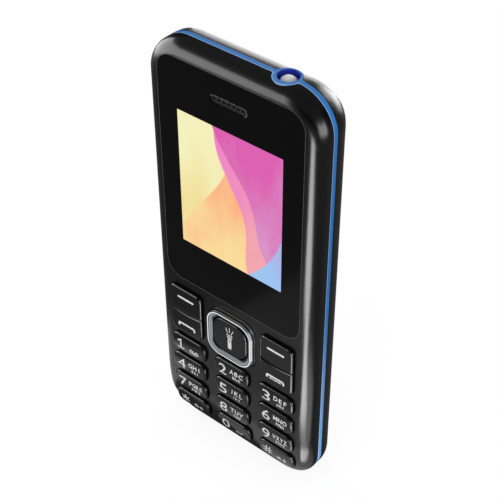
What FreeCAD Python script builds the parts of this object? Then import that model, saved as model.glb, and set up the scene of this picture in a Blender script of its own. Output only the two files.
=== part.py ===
import FreeCAD, Part
import math
import os

# Bar phone with a fixed keypad, a snap-on rear cover and a torch in its top end.
# Millimetres. X runs to the right of someone who faces the screen, Z runs up the
# phone and Y runs into it. Depths below are counted from the flat front face;
# save() moves every piece so that the origin is under the middle of the whole phone.

# ---------------------------------------------------------------- driving sizes
# outer body
body_width = 45.6
body_length = 110.4
body_depth = 12.3
corner_radius = 9.0          # outline corners, seen from the front
front_edge_radius = 3.2
side_flat = 0.5              # straight strip between the blue band and the rounded back
chin_radius = 60.0           # the face bends back below chin_start
chin_start = 16.5

# shells
side_wall = 1.2
front_wall = 1.5
cover_wall = 1.0
cover_gap = 0.25             # rear cover to chassis
trim_front = 4.4             # depth where the blue band starts
trim_back = 5.6
trim_wall = 1.3
seat_gap = 0.05              # clearance of a piece that sits in a pocket

# window and display
window_side_margin = 3.6     # window to the phone's side
window_top_margin = 3.1      # window to the phone's upper end
window_low_z = 47.7          # the keypad lies below it
window_radius = 4.2
window_thickness = 0.8
window_gap = 0.12
tape_thickness = 0.15
tape_inset = 0.3
tape_opening_margin = 0.6
screen_side_mask = 5.185     # black border of the window beside the active area
screen_end_mask = 12.28      # and above and below it
ledge_margin_x = 2.0         # housing opening beyond the active area
ledge_margin_z = 3.0
ledge_corner = 1.0
panel_border = 1.5
panel_thickness = 1.2
tray_side_wall = 1.585       # tray beyond the panel
tray_upper_wall = 1.48
tray_driver_wall = 6.18      # the driver ledge of the display lies at its lower end
flex_thickness = 0.2
tray_corner = 0.8
flex_overlap = 2.5           # how far the ribbon runs below the tray
flex_width = 12.0
flex_height = 11.0

# earpiece
earpiece_end_margin = 8.8    # from the phone's upper end
earpiece_width = 9.6
earpiece_height = 1.9
mesh_thickness = 0.3
mesh_margin = 0.9
mesh_field_gap = 0.1         # round the raised field in the slot
mesh_set_back = 0.15         # field below the window's face
mesh_hole_radius = 0.3
mesh_hole_shift = 0.2        # row of holes above the slot's middle
mesh_hole_count = 7
mesh_hole_pitch = 1.25
slot_end_flat = 0.001        # keeps a short straight edge between two end arcs
receiver_width = 11.0
receiver_height = 5.6
receiver_depth = 2.2
receiver_corner = 1.6

# five-way key
keypad_top_margin = 2.8      # window to the chrome ring
nav_base_half = 7.0
nav_rise = 1.3
nav_rim_inset = 0.5          # outer slope of the ring, seen from the front
nav_rim_width = 0.45
nav_slope_width = 1.3        # rim and inner slope together
nav_radius = 4.1
nav_hole_gap = 0.25
nav_skirt_inset = 0.3
nav_skirt_wall = 0.6
nav_skirt_radius = 3.8
nav_inside_radius = 3.2
nav_lip_depth = -0.3
nav_opening_radius = 3.1
nav_bowl_depth = -0.65       # where the inner slope ends
nav_flange_reach = 0.6
nav_flange_drop = 0.5        # behind the front wall's outer depth
nav_flange_thickness = 0.35
nav_pad_gap = 0.4            # mat recess beyond the ring's flange
nav_dome_share = 0.85        # domes of the five-way key, as a share of the rim's half width
carrier_inset = 1.1          # carrier plate inside the ring's skirt
carrier_drop = 0.2
carrier_thickness = 0.35
carrier_hole_radius = 2.2
carrier_radius = 2.6
ok_gap_x = 0.25
ok_gap_z = 0.35
ok_radius = 3.0
ok_rise = 0.9
ok_edge_radius = 0.3
ok_flange_reach = 0.5        # caught under the ring's inner lip
ok_flange_depth = 0.2
ok_flange_thickness = 0.4
ok_stem_radius = 1.6

# keys
key_rise = 0.85              # cap tops above the face
key_edge_radius = 0.5
key_gap = 0.15
key_flange = 0.45
key_flange_thickness = 0.5
key_flange_gap = 0.1         # round a flange inside the housing
key_travel = 0.3
travel_margin = 0.05
keypad_side_margin = 4.15    # digit keys to the phone's side
keypad_low_margin = 3.85     # last row to the phone's lower end
nav_row_gap = 1.7            # chrome ring to the first row
column_gap = 2.75
row_gap = 1.25
row_count = 4
digit_radius = 1.9
digit_crown_radius = 14.0    # the digit keys' tops bulge along the phone
last_row_seat = 2.5          # depth of the flange seat behind the bent chin
side_key_margin = 4.5        # side keys to the phone's side
side_key_nav_gap = 1.9
side_key_trim = 0.1          # a pair of side keys is this much shorter than the ring
side_key_shift = 0.05        # and sits this much higher
side_key_radius = 1.3
side_key_split = 0.3
side_key_sag = 0.6           # the groove between two side keys hangs by this much

# keypad mat, domes and board
mat_side_margin = 4.2
mat_bottom = 3.9
mat_top_margin = 0.5         # below the window
mat_thickness = 0.6
mat_corner_drop = 2.0        # mat corners are this much tighter than the body's
mat_pip_radius = 1.1
dome_radius = 1.9
dome_height = 0.25
film_thickness = 0.1
mat_low_thickness = 0.4      # under the five-way key and the last row
board_thickness = 0.8
board_margin = 1.0           # board edge to the housing's inner wall
board_bottom = 3.2
board_top_margin = 5.4

# screws
boss_key_lap = 0.1           # bosses stand this far inside the line of the digit keys' flanges
boss_radius = 1.2
boss_row_shift = 1.125       # lowest screws above the middle between the last two rows
boss_middle_z = 52.0
boss_top_margin = 11.4
boss_start = 1.2
boss_notch_gap = 0.15
screw_radius = 0.65
screw_bore_radius = 0.7
screw_length = 3.4
screw_head_radius = 1.15
screw_head_height = 0.7
screw_seat_wall = 1.15       # chassis under the head
screw_head_gap = 0.1
screw_slot_reach = 0.8
screw_slot_width = 0.35
screw_slot_depth = 0.3

# torch
torch_corner_lap = 0.1       # the ring reaches this far into the rounded corner
torch_ring_radius = 3.1
torch_hole_radius = 2.35
torch_hole_shift = 0.35      # hole and lens behind the ring's axis
torch_tube_length = 3.2
torch_step_depth = 2.0
torch_lens_radius = 1.9
torch_lens_top = 0.1         # dome top below the end of the phone
torch_lens_length = 4.0
torch_dome_height = 1.1
led_width = 3.2
led_depth = 1.6
led_height = 2.4
led_die_height = 0.5
led_die_radius = 0.65
torch_blend = 0.8

# chassis and its bays, from the lower end up
chassis_inset_front = 1.6
chassis_headroom = 0.9       # below the rear cover
bay_gap = 0.3
bay_rib = 1.2                # chassis wall between the low bay and the battery
low_bay_bottom = 2.6
low_bay_side = 5.2
low_bay_clearance = 0.2
battery_side_margin = 5.8
battery_headroom = 0.35
battery_radius = 1.5
bay_floor_wall = 0.55
connector_width = 10.0
connector_height = 1.6
connector_depth = 3.2
connector_gap = 0.45         # to the card bay
contact_width = 1.2
contact_count = 3
contact_pitch = 2.6
contact_reach = 0.25
contact_pad_margin = 0.2
contact_pad_depth = 0.3
contact_pad_front = 1.0      # from the battery's front face
contact_tip_inset = 0.9
card_bay_side = 3.4
card_bay_clearance = 0.2
card_end_room = 1.0          # room to slide a card in
card_rib = 1.4               # chassis wall between the card bay and the top bay
sim_length = 13.6
sim_thickness = 1.4
memory_width = 10.6
memory_length = 14.4
card_spacing = 0.5
card_slot = 0.8
card_frame = 0.6             # metal left round the slot
card_view_share = 0.45       # stamped window in the holder's lid
card_view_corner = 1.0
top_bay_length = 17.2
top_bay_end_margin = 7.0     # from the phone's upper end
top_bay_side = 5.9
top_bay_wall = 3.5           # from the phone's rear face

# sound, camera and small parts
speaker_end_margin = 15.8
speaker_radius = 6.0
speaker_side_gap = 0.4       # inside the top bay
speaker_lift = 0.3           # off the board
part_headroom = 0.2          # below the top bay's ceiling
speaker_port_radius = 5.0
speaker_cone_inner = 2.7
speaker_cone_outer = 5.1
speaker_cone_depth = 0.9
speaker_dome_radius = 2.4
speaker_dome_below = 0.1     # dome top below the rim
grille_hole_radius = 0.55
grille_pitch = 2.1
camera_end_margin = 12.8
camera_gap = 1.3             # to the loudspeaker
camera_size = 6.4
camera_barrel_radius = 2.4
camera_barrel_gap = 0.8      # to its window
camera_iris_inner = 0.7
camera_iris_outer = 1.7
camera_iris_depth = 0.8
camera_window_radius = 3.2
camera_window_thickness = 0.6
camera_view_radius = 2.0
shield_camera_gap = 1.4
shield_side_gap = 0.7
shield_low_gap = 1.0
shield_top_gap = 1.8
shield_height = 1.6
shield_wall = 0.2
usb_width = 7.6
usb_height = 2.6
usb_length = 5.2
usb_shell = 0.3
usb_tongue = 0.6
usb_tongue_half = 2.3
usb_tongue_inset = 0.6
usb_corner = 0.5
usb_opening_corner = 1.0
usb_opening_margin = 0.4
usb_opening_margin_y = 0.3
jack_side_margin = 12.2
jack_bore_radius = 1.8
jack_bore_length = 9.0
jack_width = 6.0
jack_depth = 4.6
jack_flat_lap = 0.7          # the jack reaches this far over the rounding of the lower end
jack_length = 9.8
jack_opening_radius = 2.4
motor_gap = 0.5              # to the microphone
motor_end_gap = 1.6
motor_top_gap = 0.4
motor_radius = 4.0
motor_thickness = 2.6
mic_gap = 0.7                # to the USB socket
mic_width = 2.2
mic_height = 1.8
mic_thickness = 1.0
mic_hole_radius = 0.45

# rear cover details
rib_low_z = 32.0
rib_middle_z = 64.0
rib_top_margin = 22.4
rib_width = 3.0
rib_depth = 0.7
rib_gap = 0.2
rib_clear_of_rim = 0.6
nail_slot_x = 10.6
nail_slot_width = 5.0
nail_slot_radius = 1.4
nail_slot_depth = 0.7

# ---------------------------------------------------------------- derived places
half_width = body_width / 2
origin_shift = -(body_depth - nav_rise) / 2

# stack from the front wall to the board's back
mat_front = front_wall + key_flange_thickness + key_travel + travel_margin
mat_back = mat_front + mat_thickness
mat_low_front = last_row_seat + key_flange_thickness + key_travel + travel_margin
mat_low_back = mat_low_front + mat_low_thickness
board_front = mat_low_back + dome_height + film_thickness
board_back = board_front + board_thickness
back_edge_radius = body_depth - trim_back - side_flat
bottom_back_radius = body_depth - board_back - jack_depth + jack_flat_lap

# window, display and earpiece
window_width = body_width - 2 * window_side_margin
window_height = body_length - window_top_margin - window_low_z
window_back = window_thickness + tape_thickness
screen_z = window_low_z + window_height / 2
screen_width = window_width - 2 * screen_side_mask
screen_height = window_height - 2 * screen_end_mask
panel_front = window_back + seat_gap
tray_back = board_front - flex_thickness
tray_width = screen_width + 2 * (panel_border + tray_side_wall)
tray_height = screen_height + 2 * panel_border + tray_upper_wall + tray_driver_wall
tray_z = screen_z + (tray_upper_wall - tray_driver_wall) / 2
earpiece_z = body_length - earpiece_end_margin

# five-way key, side keys and digit keys
nav_z = window_low_z - keypad_top_margin - nav_base_half
nav_rim_half = nav_base_half - nav_rim_inset
nav_opening_half = nav_rim_half - nav_slope_width
nav_skirt_half = nav_base_half - nav_skirt_inset
nav_inside_half = nav_skirt_half - nav_skirt_wall
nav_flange_half = nav_base_half + nav_flange_reach
nav_flange_depth = front_wall + nav_flange_drop
nav_dome_reach = nav_rim_half * nav_dome_share
nav_pad_half = nav_flange_half + nav_pad_gap
carrier_half = nav_inside_half - carrier_inset
carrier_depth = nav_flange_depth + nav_flange_thickness + carrier_drop
ok_half_width = nav_opening_half - ok_gap_x
ok_half_height = nav_opening_half - ok_gap_z
ok_flange_half = nav_opening_half + ok_flange_reach
side_key_z = nav_z + side_key_shift
side_key_height = 2 * nav_base_half - side_key_trim
side_key_inner_x = nav_base_half + side_key_nav_gap
side_key_width = half_width - side_key_margin - side_key_inner_x
side_key_x = side_key_inner_x + side_key_width / 2
first_row_top = nav_z - nav_base_half - nav_row_gap
digit_height = (first_row_top - keypad_low_margin - (row_count - 1) * row_gap) / row_count
digit_width = (body_width - 2 * keypad_side_margin - 2 * column_gap) / 3
column_pitch = digit_width + column_gap
row_pitch = digit_height + row_gap
first_row_z = first_row_top - digit_height / 2
last_row_z = keypad_low_margin + digit_height / 2
chin_step_z = last_row_z + row_pitch / 2

# mat and board
board_top = body_length - board_top_margin
mat_half_width = half_width - mat_side_margin
mat_top = window_low_z - mat_top_margin
ok_stem_end = mat_low_front - key_travel - travel_margin

# torch, chassis and screws
middle_depth = (trim_front + trim_back) / 2
torch_x = half_width - corner_radius + torch_corner_lap - torch_ring_radius
torch_lens_depth = middle_depth + torch_hole_shift
torch_tube_bottom = body_length - torch_tube_length
chassis_front = board_back + seat_gap
chassis_back = body_depth - cover_wall - chassis_headroom
boss_x = half_width - keypad_side_margin + key_flange + boss_radius - boss_key_lap
boss_heights = (chin_step_z + boss_row_shift, boss_middle_z, body_length - boss_top_margin)
screw_seat = chassis_front + screw_seat_wall

# low bay: sockets, microphone and motor
socket_bottom = trim_wall + seat_gap
usb_opening_width = usb_width + 2 * usb_opening_margin
usb_opening_height = usb_height + 2 * usb_opening_margin_y
jack_x = jack_side_margin - half_width
mic_x = usb_width / 2 + mic_gap + mic_width / 2
motor_x = mic_x + mic_width / 2 + motor_gap + motor_radius
motor_z = low_bay_bottom + motor_end_gap + motor_radius
low_bay_top = motor_z + motor_radius + motor_top_gap
low_bay_half = half_width - low_bay_side
low_bay_back = board_back + jack_depth + low_bay_clearance

# top bay: loudspeaker, camera and shield
top_bay_top = body_length - top_bay_end_margin
top_bay_bottom = top_bay_top - top_bay_length
top_bay_half = half_width - top_bay_side
top_bay_back = body_depth - top_bay_wall
speaker_x = speaker_radius + speaker_side_gap - top_bay_half
speaker_z = body_length - speaker_end_margin
speaker_front = board_back + speaker_lift
speaker_back = top_bay_back - part_headroom
camera_x = speaker_x + speaker_radius + camera_gap + camera_size / 2
camera_z = body_length - camera_end_margin
camera_body_back = top_bay_back - part_headroom
camera_barrel_back = body_depth - camera_window_thickness - camera_barrel_gap
shield_left = camera_x + camera_size / 2 + shield_camera_gap
shield_right = top_bay_half - shield_side_gap
shield_bottom = top_bay_bottom + shield_low_gap
shield_top = top_bay_top - shield_top_gap

# card bay and battery between the two
card_bay_top = top_bay_bottom - card_rib
card_bay_bottom = card_bay_top - card_end_room - memory_length
card_bay_half = half_width - card_bay_side
sim_width = card_bay_half - card_bay_clearance - memory_width / 2 - card_spacing
battery_width = body_width - 2 * battery_side_margin
battery_bottom = low_bay_top + bay_rib
battery_top = card_bay_bottom - connector_gap - connector_height - contact_reach - bay_gap
battery_height = battery_top - battery_bottom
bay_floor = chassis_front + bay_floor_wall
battery_front = bay_floor + seat_gap
battery_thickness = body_depth - cover_wall - battery_headroom - battery_front

rib_heights = (rib_low_z, rib_middle_z, body_length - rib_top_margin)

V = FreeCAD.Vector
forms = FreeCAD.newDocument("forms")


# ---------------------------------------------------------------- plain shapes
def box(x0, x1, y0, y1, z0, z1):
    return Part.makeBox(x1 - x0, y1 - y0, z1 - z0, V(x0, y0, z0))


def round_y(x, z, radius, y0, y1):
    return Part.makeCylinder(radius, y1 - y0, V(x, y0, z), V(0, 1, 0))


def round_z(x, y, radius, z0, z1):
    return Part.makeCylinder(radius, z1 - z0, V(x, y, z0), V(0, 0, 1))


def outline(x, z, width, height, radius, y):
    """Closed wire of a rounded rectangle that faces along Y."""
    x0, x1 = x - width / 2, x + width / 2
    z0, z1 = z - height / 2, z + height / 2
    inner = radius * (1 - math.sqrt(0.5))
    corners = (
        (V(x1 - radius, y, z0), V(x1 - inner, y, z0 + inner), V(x1, y, z0 + radius)),
        (V(x1, y, z1 - radius), V(x1 - inner, y, z1 - inner), V(x1 - radius, y, z1)),
        (V(x0 + radius, y, z1), V(x0 + inner, y, z1 - inner), V(x0, y, z1 - radius)),
        (V(x0, y, z0 + radius), V(x0 + inner, y, z0 + inner), V(x0 + radius, y, z0)),
    )
    edges = []
    for index, (start, middle, end) in enumerate(corners):
        edges.append(Part.Arc(start, middle, end).toShape())
        following = corners[(index + 1) % len(corners)][0]
        edges.append(Part.LineSegment(end, following).toShape())
    return Part.Wire(edges)


def plate(x, z, width, height, radius, y0, y1):
    face = Part.Face(outline(x, z, width, height, radius, y0))
    return face.extrude(V(0, y1 - y0, 0))


def square(z, half, radius, y0, y1):
    return plate(0, z, 2 * half, 2 * half, radius, y0, y1)


def end_plate(x, y, width, depth, radius, z0, z1):
    """Rounded rectangle that faces along Z."""
    shape = plate(x, -y, width, depth, radius, z0, z1)
    shape.rotate(V(0, 0, 0), V(1, 0, 0), 90)
    return shape


def fuse(first, *others):
    return first.fuse(list(others)).removeSplitter()


def cut(first, *others):
    return first.cut(list(others))


# ---------------------------------------------------------------- the body's form
def chin_cutter(inset):
    """Everything in front of the bent lower face, for a form that is inset."""
    radius = chin_radius - inset
    low_z = -1.0
    turn = math.asin((chin_start - low_z) / radius)
    reach = body_width
    x = -reach
    start = V(x, inset, chin_start)
    middle = V(x, chin_radius - radius * math.cos(turn / 2), chin_start - radius * math.sin(turn / 2))
    end = V(x, chin_radius - radius * math.cos(turn), low_z)
    front_low = V(x, inset - front_edge_radius, low_z)
    front_high = V(x, inset - front_edge_radius, chin_start)
    wire = Part.Wire([
        Part.Arc(start, middle, end).toShape(),
        Part.LineSegment(end, front_low).toShape(),
        Part.LineSegment(front_low, front_high).toShape(),
        Part.LineSegment(front_high, start).toShape(),
    ])
    return Part.Face(wire).extrude(V(2 * reach, 0, 0))


def is_front_edge(edge, inset):
    """True for the edges that run round the face, without the line where the chin starts."""
    room = edge.BoundBox
    crosses_depth = room.YMax - room.YMin > body_depth / 2
    on_back = room.YMax > body_depth / 2
    chin_line = abs(room.ZMin - chin_start) < 1e-3 and abs(room.ZMax - chin_start) < 1e-3
    return not (crosses_depth or on_back or chin_line)


def back_fillets(shape, inset):
    """Edge number and the two end radii of each edge round the back face."""
    back = body_depth - inset
    chosen = []
    for number, edge in enumerate(shape.Edges, start=1):
        room = edge.BoundBox
        if abs(room.YMin - back) > 1e-6 or abs(room.YMax - back) > 1e-6:
            continue
        ends = (edge.valueAt(edge.FirstParameter), edge.valueAt(edge.LastParameter))
        radii = [back_edge_radius, back_edge_radius]
        for place, end in enumerate(ends):
            if abs(end.z - inset) < 1e-6:
                radii[place] = bottom_back_radius
        chosen.append((number, radii[0] - inset, radii[1] - inset))
    return chosen


def body_form(inset):
    """The whole phone's rounded form, shrunk by inset on every side."""
    face = Part.Face(outline(
        0, body_length / 2, body_width - 2 * inset, body_length - 2 * inset,
        corner_radius - inset, inset))
    block = cut(face.extrude(V(0, body_depth - 2 * inset, 0)), chin_cutter(inset))
    front_edges = [edge for edge in block.Edges if is_front_edge(edge, inset)]
    rounded = block.makeFillet(front_edge_radius - inset, front_edges)
    base = forms.addObject("Part::Feature", "base")
    base.Shape = rounded
    fillet = forms.addObject("Part::Fillet", "fillet")
    fillet.Base = base
    fillet.Edges = back_fillets(rounded, inset)
    forms.recompute()
    return fillet.Shape.Solids[0]


def slice_depth(form, y0, y1):
    reach = body_width
    return form.common(box(-reach, reach, y0, y1, -reach, body_length + reach))


def chin_depth(z):
    """Depth of the outer face at a height."""
    if z >= chin_start:
        return 0.0
    return chin_radius - math.sqrt(chin_radius ** 2 - (chin_start - z) ** 2)


# ---------------------------------------------------------------- keys
def digit_places():
    names = (("1", "2", "3"), ("4", "5", "6"), ("7", "8", "9"), ("star", "0", "hash"))
    for row, row_names in enumerate(names):
        for column, name in enumerate(row_names):
            yield "key_" + name, (column - 1) * column_pitch, first_row_z - row * row_pitch


def key_seat(z):
    return last_row_seat if z < chin_step_z else front_wall


def digit_key(x, z):
    """A crowned cap on a flange; the lower rows follow the bent chin."""
    seat = key_seat(z)
    cap = plate(x, z, digit_width, digit_height, digit_radius, -2 * key_rise, seat)
    turn = math.asin(max(chin_start - z, 0) / chin_radius)
    crown = Part.makeCylinder(
        digit_crown_radius, 2 * body_width,
        V(-body_width, chin_depth(z) - key_rise + digit_crown_radius * math.cos(turn),
          z + digit_crown_radius * math.sin(turn)),
        V(1, 0, 0))
    cap = cap.common(crown)
    top = min(cap.Faces, key=lambda face: face.CenterOfMass.y)
    cap = cap.makeFillet(key_edge_radius, top.Edges)
    flange = plate(
        x, z, digit_width + 2 * key_flange, digit_height + 2 * key_flange,
        digit_radius + key_flange, seat, seat + key_flange_thickness)
    return fuse(cap, flange)


def groove_side(x, upper):
    """Half space above or below the sagging groove between two side keys."""
    half_gap = side_key_split / 2
    z = side_key_z + (half_gap if upper else -half_gap)
    reach = side_key_width
    start = V(x - reach, -nav_rise - 1, z)
    end = V(x + reach, -nav_rise - 1, z)
    rise_out = side_key_sag * ((2 * reach / side_key_width) ** 2 - 1)
    start.z += rise_out
    end.z += rise_out
    middle = V(x, -nav_rise - 1, z - side_key_sag)
    far_z = side_key_z + (2 * side_key_height if upper else -2 * side_key_height)
    far_start = V(start.x, start.y, far_z)
    far_end = V(end.x, end.y, far_z)
    wire = Part.Wire([
        Part.Arc(start, middle, end).toShape(),
        Part.LineSegment(end, far_end).toShape(),
        Part.LineSegment(far_end, far_start).toShape(),
        Part.LineSegment(far_start, start).toShape(),
    ])
    return Part.Face(wire).extrude(V(0, 2 * body_depth, 0))


def side_key(x, upper):
    cap = plate(x, side_key_z, side_key_width, side_key_height, side_key_radius,
                -key_rise, front_wall)
    flange = plate(
        x, side_key_z, side_key_width + 2 * key_flange, side_key_height + 2 * key_flange,
        side_key_radius + key_flange, front_wall, front_wall + key_flange_thickness)
    half = groove_side(x, upper)
    cap = cap.common(half)
    edges = [edge for edge in cap.Edges if edge.BoundBox.YMax < -key_rise + 1e-3]
    cap = cap.makeFillet(key_edge_radius, edges)
    return fuse(cap, flange.common(half))


def nav_ring():
    """Chrome ring: an outer slope up to a thin rim and an inner slope down to the centre key."""
    radius_drop = nav_base_half - nav_rim_half
    rim_inner = nav_rim_half - nav_rim_width
    base_wire = outline(0, nav_z, 2 * nav_base_half, 2 * nav_base_half, nav_radius, 0)
    rim_wire = outline(0, nav_z, 2 * nav_rim_half, 2 * nav_rim_half,
                       nav_radius - radius_drop, -nav_rise)
    outer = Part.makeLoft([base_wire, rim_wire], True, True)
    skirt = square(nav_z, nav_skirt_half, nav_skirt_radius, 0, nav_flange_depth)
    flange = square(nav_z, nav_flange_half, nav_radius, nav_flange_depth,
                    nav_flange_depth + nav_flange_thickness)
    rim_drop = nav_base_half - rim_inner
    bowl_top = outline(0, nav_z, 2 * rim_inner, 2 * rim_inner, nav_radius - rim_drop, -nav_rise)
    bowl_low = outline(0, nav_z, 2 * nav_opening_half, 2 * nav_opening_half,
                       nav_opening_radius, nav_bowl_depth)
    bowl = Part.makeLoft([bowl_top, bowl_low], True, True)
    opening = square(nav_z, nav_opening_half, nav_opening_radius,
                     -nav_rise, nav_flange_depth + nav_flange_thickness)
    inside = square(nav_z, nav_inside_half, nav_inside_radius, nav_lip_depth,
                    nav_flange_depth + nav_flange_thickness)
    return cut(fuse(outer, skirt, flange), bowl, opening, inside)


def ok_key():
    cap = plate(0, nav_z, 2 * ok_half_width, 2 * ok_half_height, ok_radius,
                -ok_rise, ok_flange_depth)
    edges = [edge for edge in cap.Edges if edge.BoundBox.YMax < -ok_rise + 1e-3]
    cap = cap.makeFillet(ok_edge_radius, edges)
    flange = square(nav_z, ok_flange_half, ok_radius, ok_flange_depth,
                    ok_flange_depth + ok_flange_thickness)
    stem = round_y(0, nav_z, ok_stem_radius, ok_flange_depth, ok_stem_end)
    return fuse(cap, flange, stem)


def nav_carrier():
    body = square(nav_z, carrier_half, carrier_radius, carrier_depth,
                  carrier_depth + carrier_thickness)
    return cut(body, round_y(0, nav_z, carrier_hole_radius, carrier_depth - 1,
                             carrier_depth + carrier_thickness + 1))


# ---------------------------------------------------------------- keypad mat and domes
def dome_places():
    places = [(x, z) for name, x, z in digit_places()]
    for x in (-side_key_x, side_key_x):
        for step in (-1, 1):
            places.append((x, side_key_z + step * side_key_height / 4))
    for step_x, step_z in ((0, 0), (-1, 0), (1, 0), (0, -1), (0, 1)):
        places.append((step_x * nav_dome_reach, nav_z + step_z * nav_dome_reach))
    return places


def low_mat_zones(y0, y1, grow):
    """The zones under the five-way key and the last row, where the mat lies deeper."""
    middle = square(nav_z, nav_pad_half + grow, nav_radius, y0, y1)
    last = box(-body_width, body_width, y0, y1, -row_pitch, chin_step_z + grow)
    return middle, last


def keypad_mat():
    middle_z = (mat_bottom + mat_top) / 2
    height = mat_top - mat_bottom
    sheet = plate(0, middle_z, 2 * mat_half_width, height, corner_radius - mat_corner_drop,
                  mat_front, mat_back)
    whole = plate(0, middle_z, 2 * mat_half_width, height, corner_radius - mat_corner_drop,
                  mat_front, mat_low_back)
    nav_zone, last_zone = low_mat_zones(mat_front - 1, mat_back + 1, 0)
    sheet = cut(sheet, nav_zone, last_zone)
    nav_low, last_low = low_mat_zones(mat_low_front, mat_low_back, mat_thickness)
    steps_out = low_mat_zones(mat_front, mat_low_back, mat_thickness)
    steps_in = low_mat_zones(mat_front - 1, mat_low_back + 1, 0)
    walls = [outer.cut(inner) for outer, inner in zip(steps_out, steps_in)]
    low = [zone.common(whole) for zone in (nav_low, last_low)]
    walls = [wall.common(whole) for wall in walls]
    pips = [round_y(x, z, mat_pip_radius, mat_back, mat_low_back)
            for x, z in dome_places() if is_high_mat(x, z)]
    mat = fuse(sheet, *(low + walls + pips))
    # the wall round the five-way key's zone keeps clear of the last row's wall
    nav_room = square(nav_z, nav_pad_half, nav_radius, mat_front - 1, mat_low_front)
    last_room = box(-body_width, body_width, mat_front - 1, mat_low_front, -row_pitch, chin_step_z)
    return cut(mat, nav_room, last_room)


def is_high_mat(x, z):
    under_nav = abs(x) < nav_flange_half and abs(z - nav_z) < nav_flange_half
    return not under_nav and z > chin_step_z


def dome_sheet():
    middle_z = (mat_bottom + mat_top) / 2
    film = plate(0, middle_z, 2 * mat_half_width, mat_top - mat_bottom, corner_radius - mat_corner_drop,
                 board_front - film_thickness, board_front)
    domes = [round_y(x, z, dome_radius, mat_low_back, board_front - film_thickness)
             for x, z in dome_places()]
    return fuse(film, *domes)


# ---------------------------------------------------------------- front housing and display
def torch_ring_room(gap):
    return round_z(torch_x, middle_depth, torch_ring_radius + gap,
                   torch_tube_bottom - gap, body_length + 1)


def slot_plate(width, height, y0, y1):
    return plate(0, earpiece_z, width, height, height / 2 - slot_end_flat, y0, y1)


def key_holes():
    holes = []
    for name, x, z in digit_places():
        holes.append(plate(x, z, digit_width + 2 * key_gap, digit_height + 2 * key_gap,
                           digit_radius + key_gap, -1, last_row_seat + 1))
    for x in (-side_key_x, side_key_x):
        holes.append(plate(x, side_key_z, side_key_width + 2 * key_gap,
                           side_key_height + 2 * key_gap, side_key_radius + key_gap,
                           -1, front_wall + 1))
    holes.append(square(nav_z, nav_base_half + nav_hole_gap, nav_radius + nav_hole_gap,
                        -1, front_wall + 1))
    return holes


def flange_rooms():
    """Pockets that leave each digit key's flange a flat seat behind the bent face."""
    grow = 2 * (key_flange + key_flange_gap)
    return [plate(x, z, digit_width + grow, digit_height + grow, digit_radius + grow / 2,
                  key_seat(z), trim_front) for name, x, z in digit_places()]


def boss_places():
    for z in boss_heights:
        for side in (-1, 1):
            yield side * boss_x, z


def front_housing():
    shell = slice_depth(body_form(0), -1, trim_front)
    inside = slice_depth(body_form(side_wall), front_wall, body_depth)
    chin_pad = box(-body_width, body_width, -1, last_row_seat, -1, chin_step_z)
    shell = cut(shell, cut(inside, chin_pad))
    shell = cut(shell, *flange_rooms())
    bosses = [round_y(x, z, boss_radius, boss_start, chassis_front) for x, z in boss_places()]
    shell = fuse(shell, *bosses)
    bores = [round_y(x, z, screw_bore_radius, screw_seat - screw_length - seat_gap, body_depth)
             for x, z in boss_places()]
    recess = plate(0, screen_z, window_width + 2 * window_gap, window_height + 2 * window_gap,
                   window_radius + window_gap, -1, window_back)
    view = plate(0, screen_z, screen_width + 2 * ledge_margin_x,
                 screen_height + 2 * ledge_margin_z, ledge_corner, 0, front_wall + 1)
    ear_slot = slot_plate(earpiece_width, earpiece_height, 0, front_wall + 1)
    mesh_room = slot_plate(earpiece_width + 2 * mesh_margin + 2 * seat_gap,
                           earpiece_height + 2 * mesh_margin + 2 * seat_gap,
                           0, window_back + mesh_thickness)
    return cut(shell, recess, view, ear_slot, mesh_room, torch_ring_room(seat_gap),
               banded_ring(), *(key_holes() + bores))


def display_window():
    glass = plate(0, screen_z, window_width, window_height, window_radius, 0, window_thickness)
    return cut(glass, slot_plate(earpiece_width, earpiece_height, -1, 2))


def window_tape():
    frame = plate(0, screen_z, window_width - 2 * tape_inset, window_height - 2 * tape_inset,
                  window_radius - tape_inset, window_thickness, window_back)
    opening = box(-screen_width / 2 - tape_opening_margin, screen_width / 2 + tape_opening_margin,
                  0, 2, screen_z - screen_height / 2 - tape_opening_margin,
                  screen_z + screen_height / 2 + tape_opening_margin)
    return cut(frame, opening, slot_plate(earpiece_width, earpiece_height, -1, 2))


def earpiece_mesh():
    sheet = slot_plate(earpiece_width + 2 * mesh_margin, earpiece_height + 2 * mesh_margin,
                       window_back, window_back + mesh_thickness)
    field = slot_plate(earpiece_width - 2 * mesh_field_gap, earpiece_height - 2 * mesh_field_gap,
                       mesh_set_back, window_back + mesh_thickness)
    first = -(mesh_hole_count - 1) / 2
    hole_z = earpiece_z + mesh_hole_shift
    holes = [round_y((first + index) * mesh_hole_pitch, hole_z, mesh_hole_radius, 0, 2)
             for index in range(mesh_hole_count)]
    return cut(fuse(sheet, field), *holes)


def earpiece_receiver():
    return plate(0, earpiece_z, receiver_width, receiver_height, receiver_corner, front_wall + seat_gap,
                 front_wall + seat_gap + receiver_depth)


def lcd_panel():
    return box(-screen_width / 2 - panel_border, screen_width / 2 + panel_border,
               panel_front, panel_front + panel_thickness,
               screen_z - screen_height / 2 - panel_border,
               screen_z + screen_height / 2 + panel_border)


def backlight_unit():
    tray = plate(0, tray_z, tray_width, tray_height, tray_corner, front_wall + seat_gap, tray_back)
    room = panel_border + seat_gap
    pocket = box(-screen_width / 2 - room, screen_width / 2 + room, 0,
                 panel_front + panel_thickness + seat_gap,
                 screen_z - screen_height / 2 - room, screen_z + screen_height / 2 + room)
    return cut(tray, pocket)


def lcd_flex():
    low = tray_z - tray_height / 2
    return plate(0, low + flex_height / 2 - flex_overlap, flex_width, flex_height, tray_corner,
                 tray_back, board_front)


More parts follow.
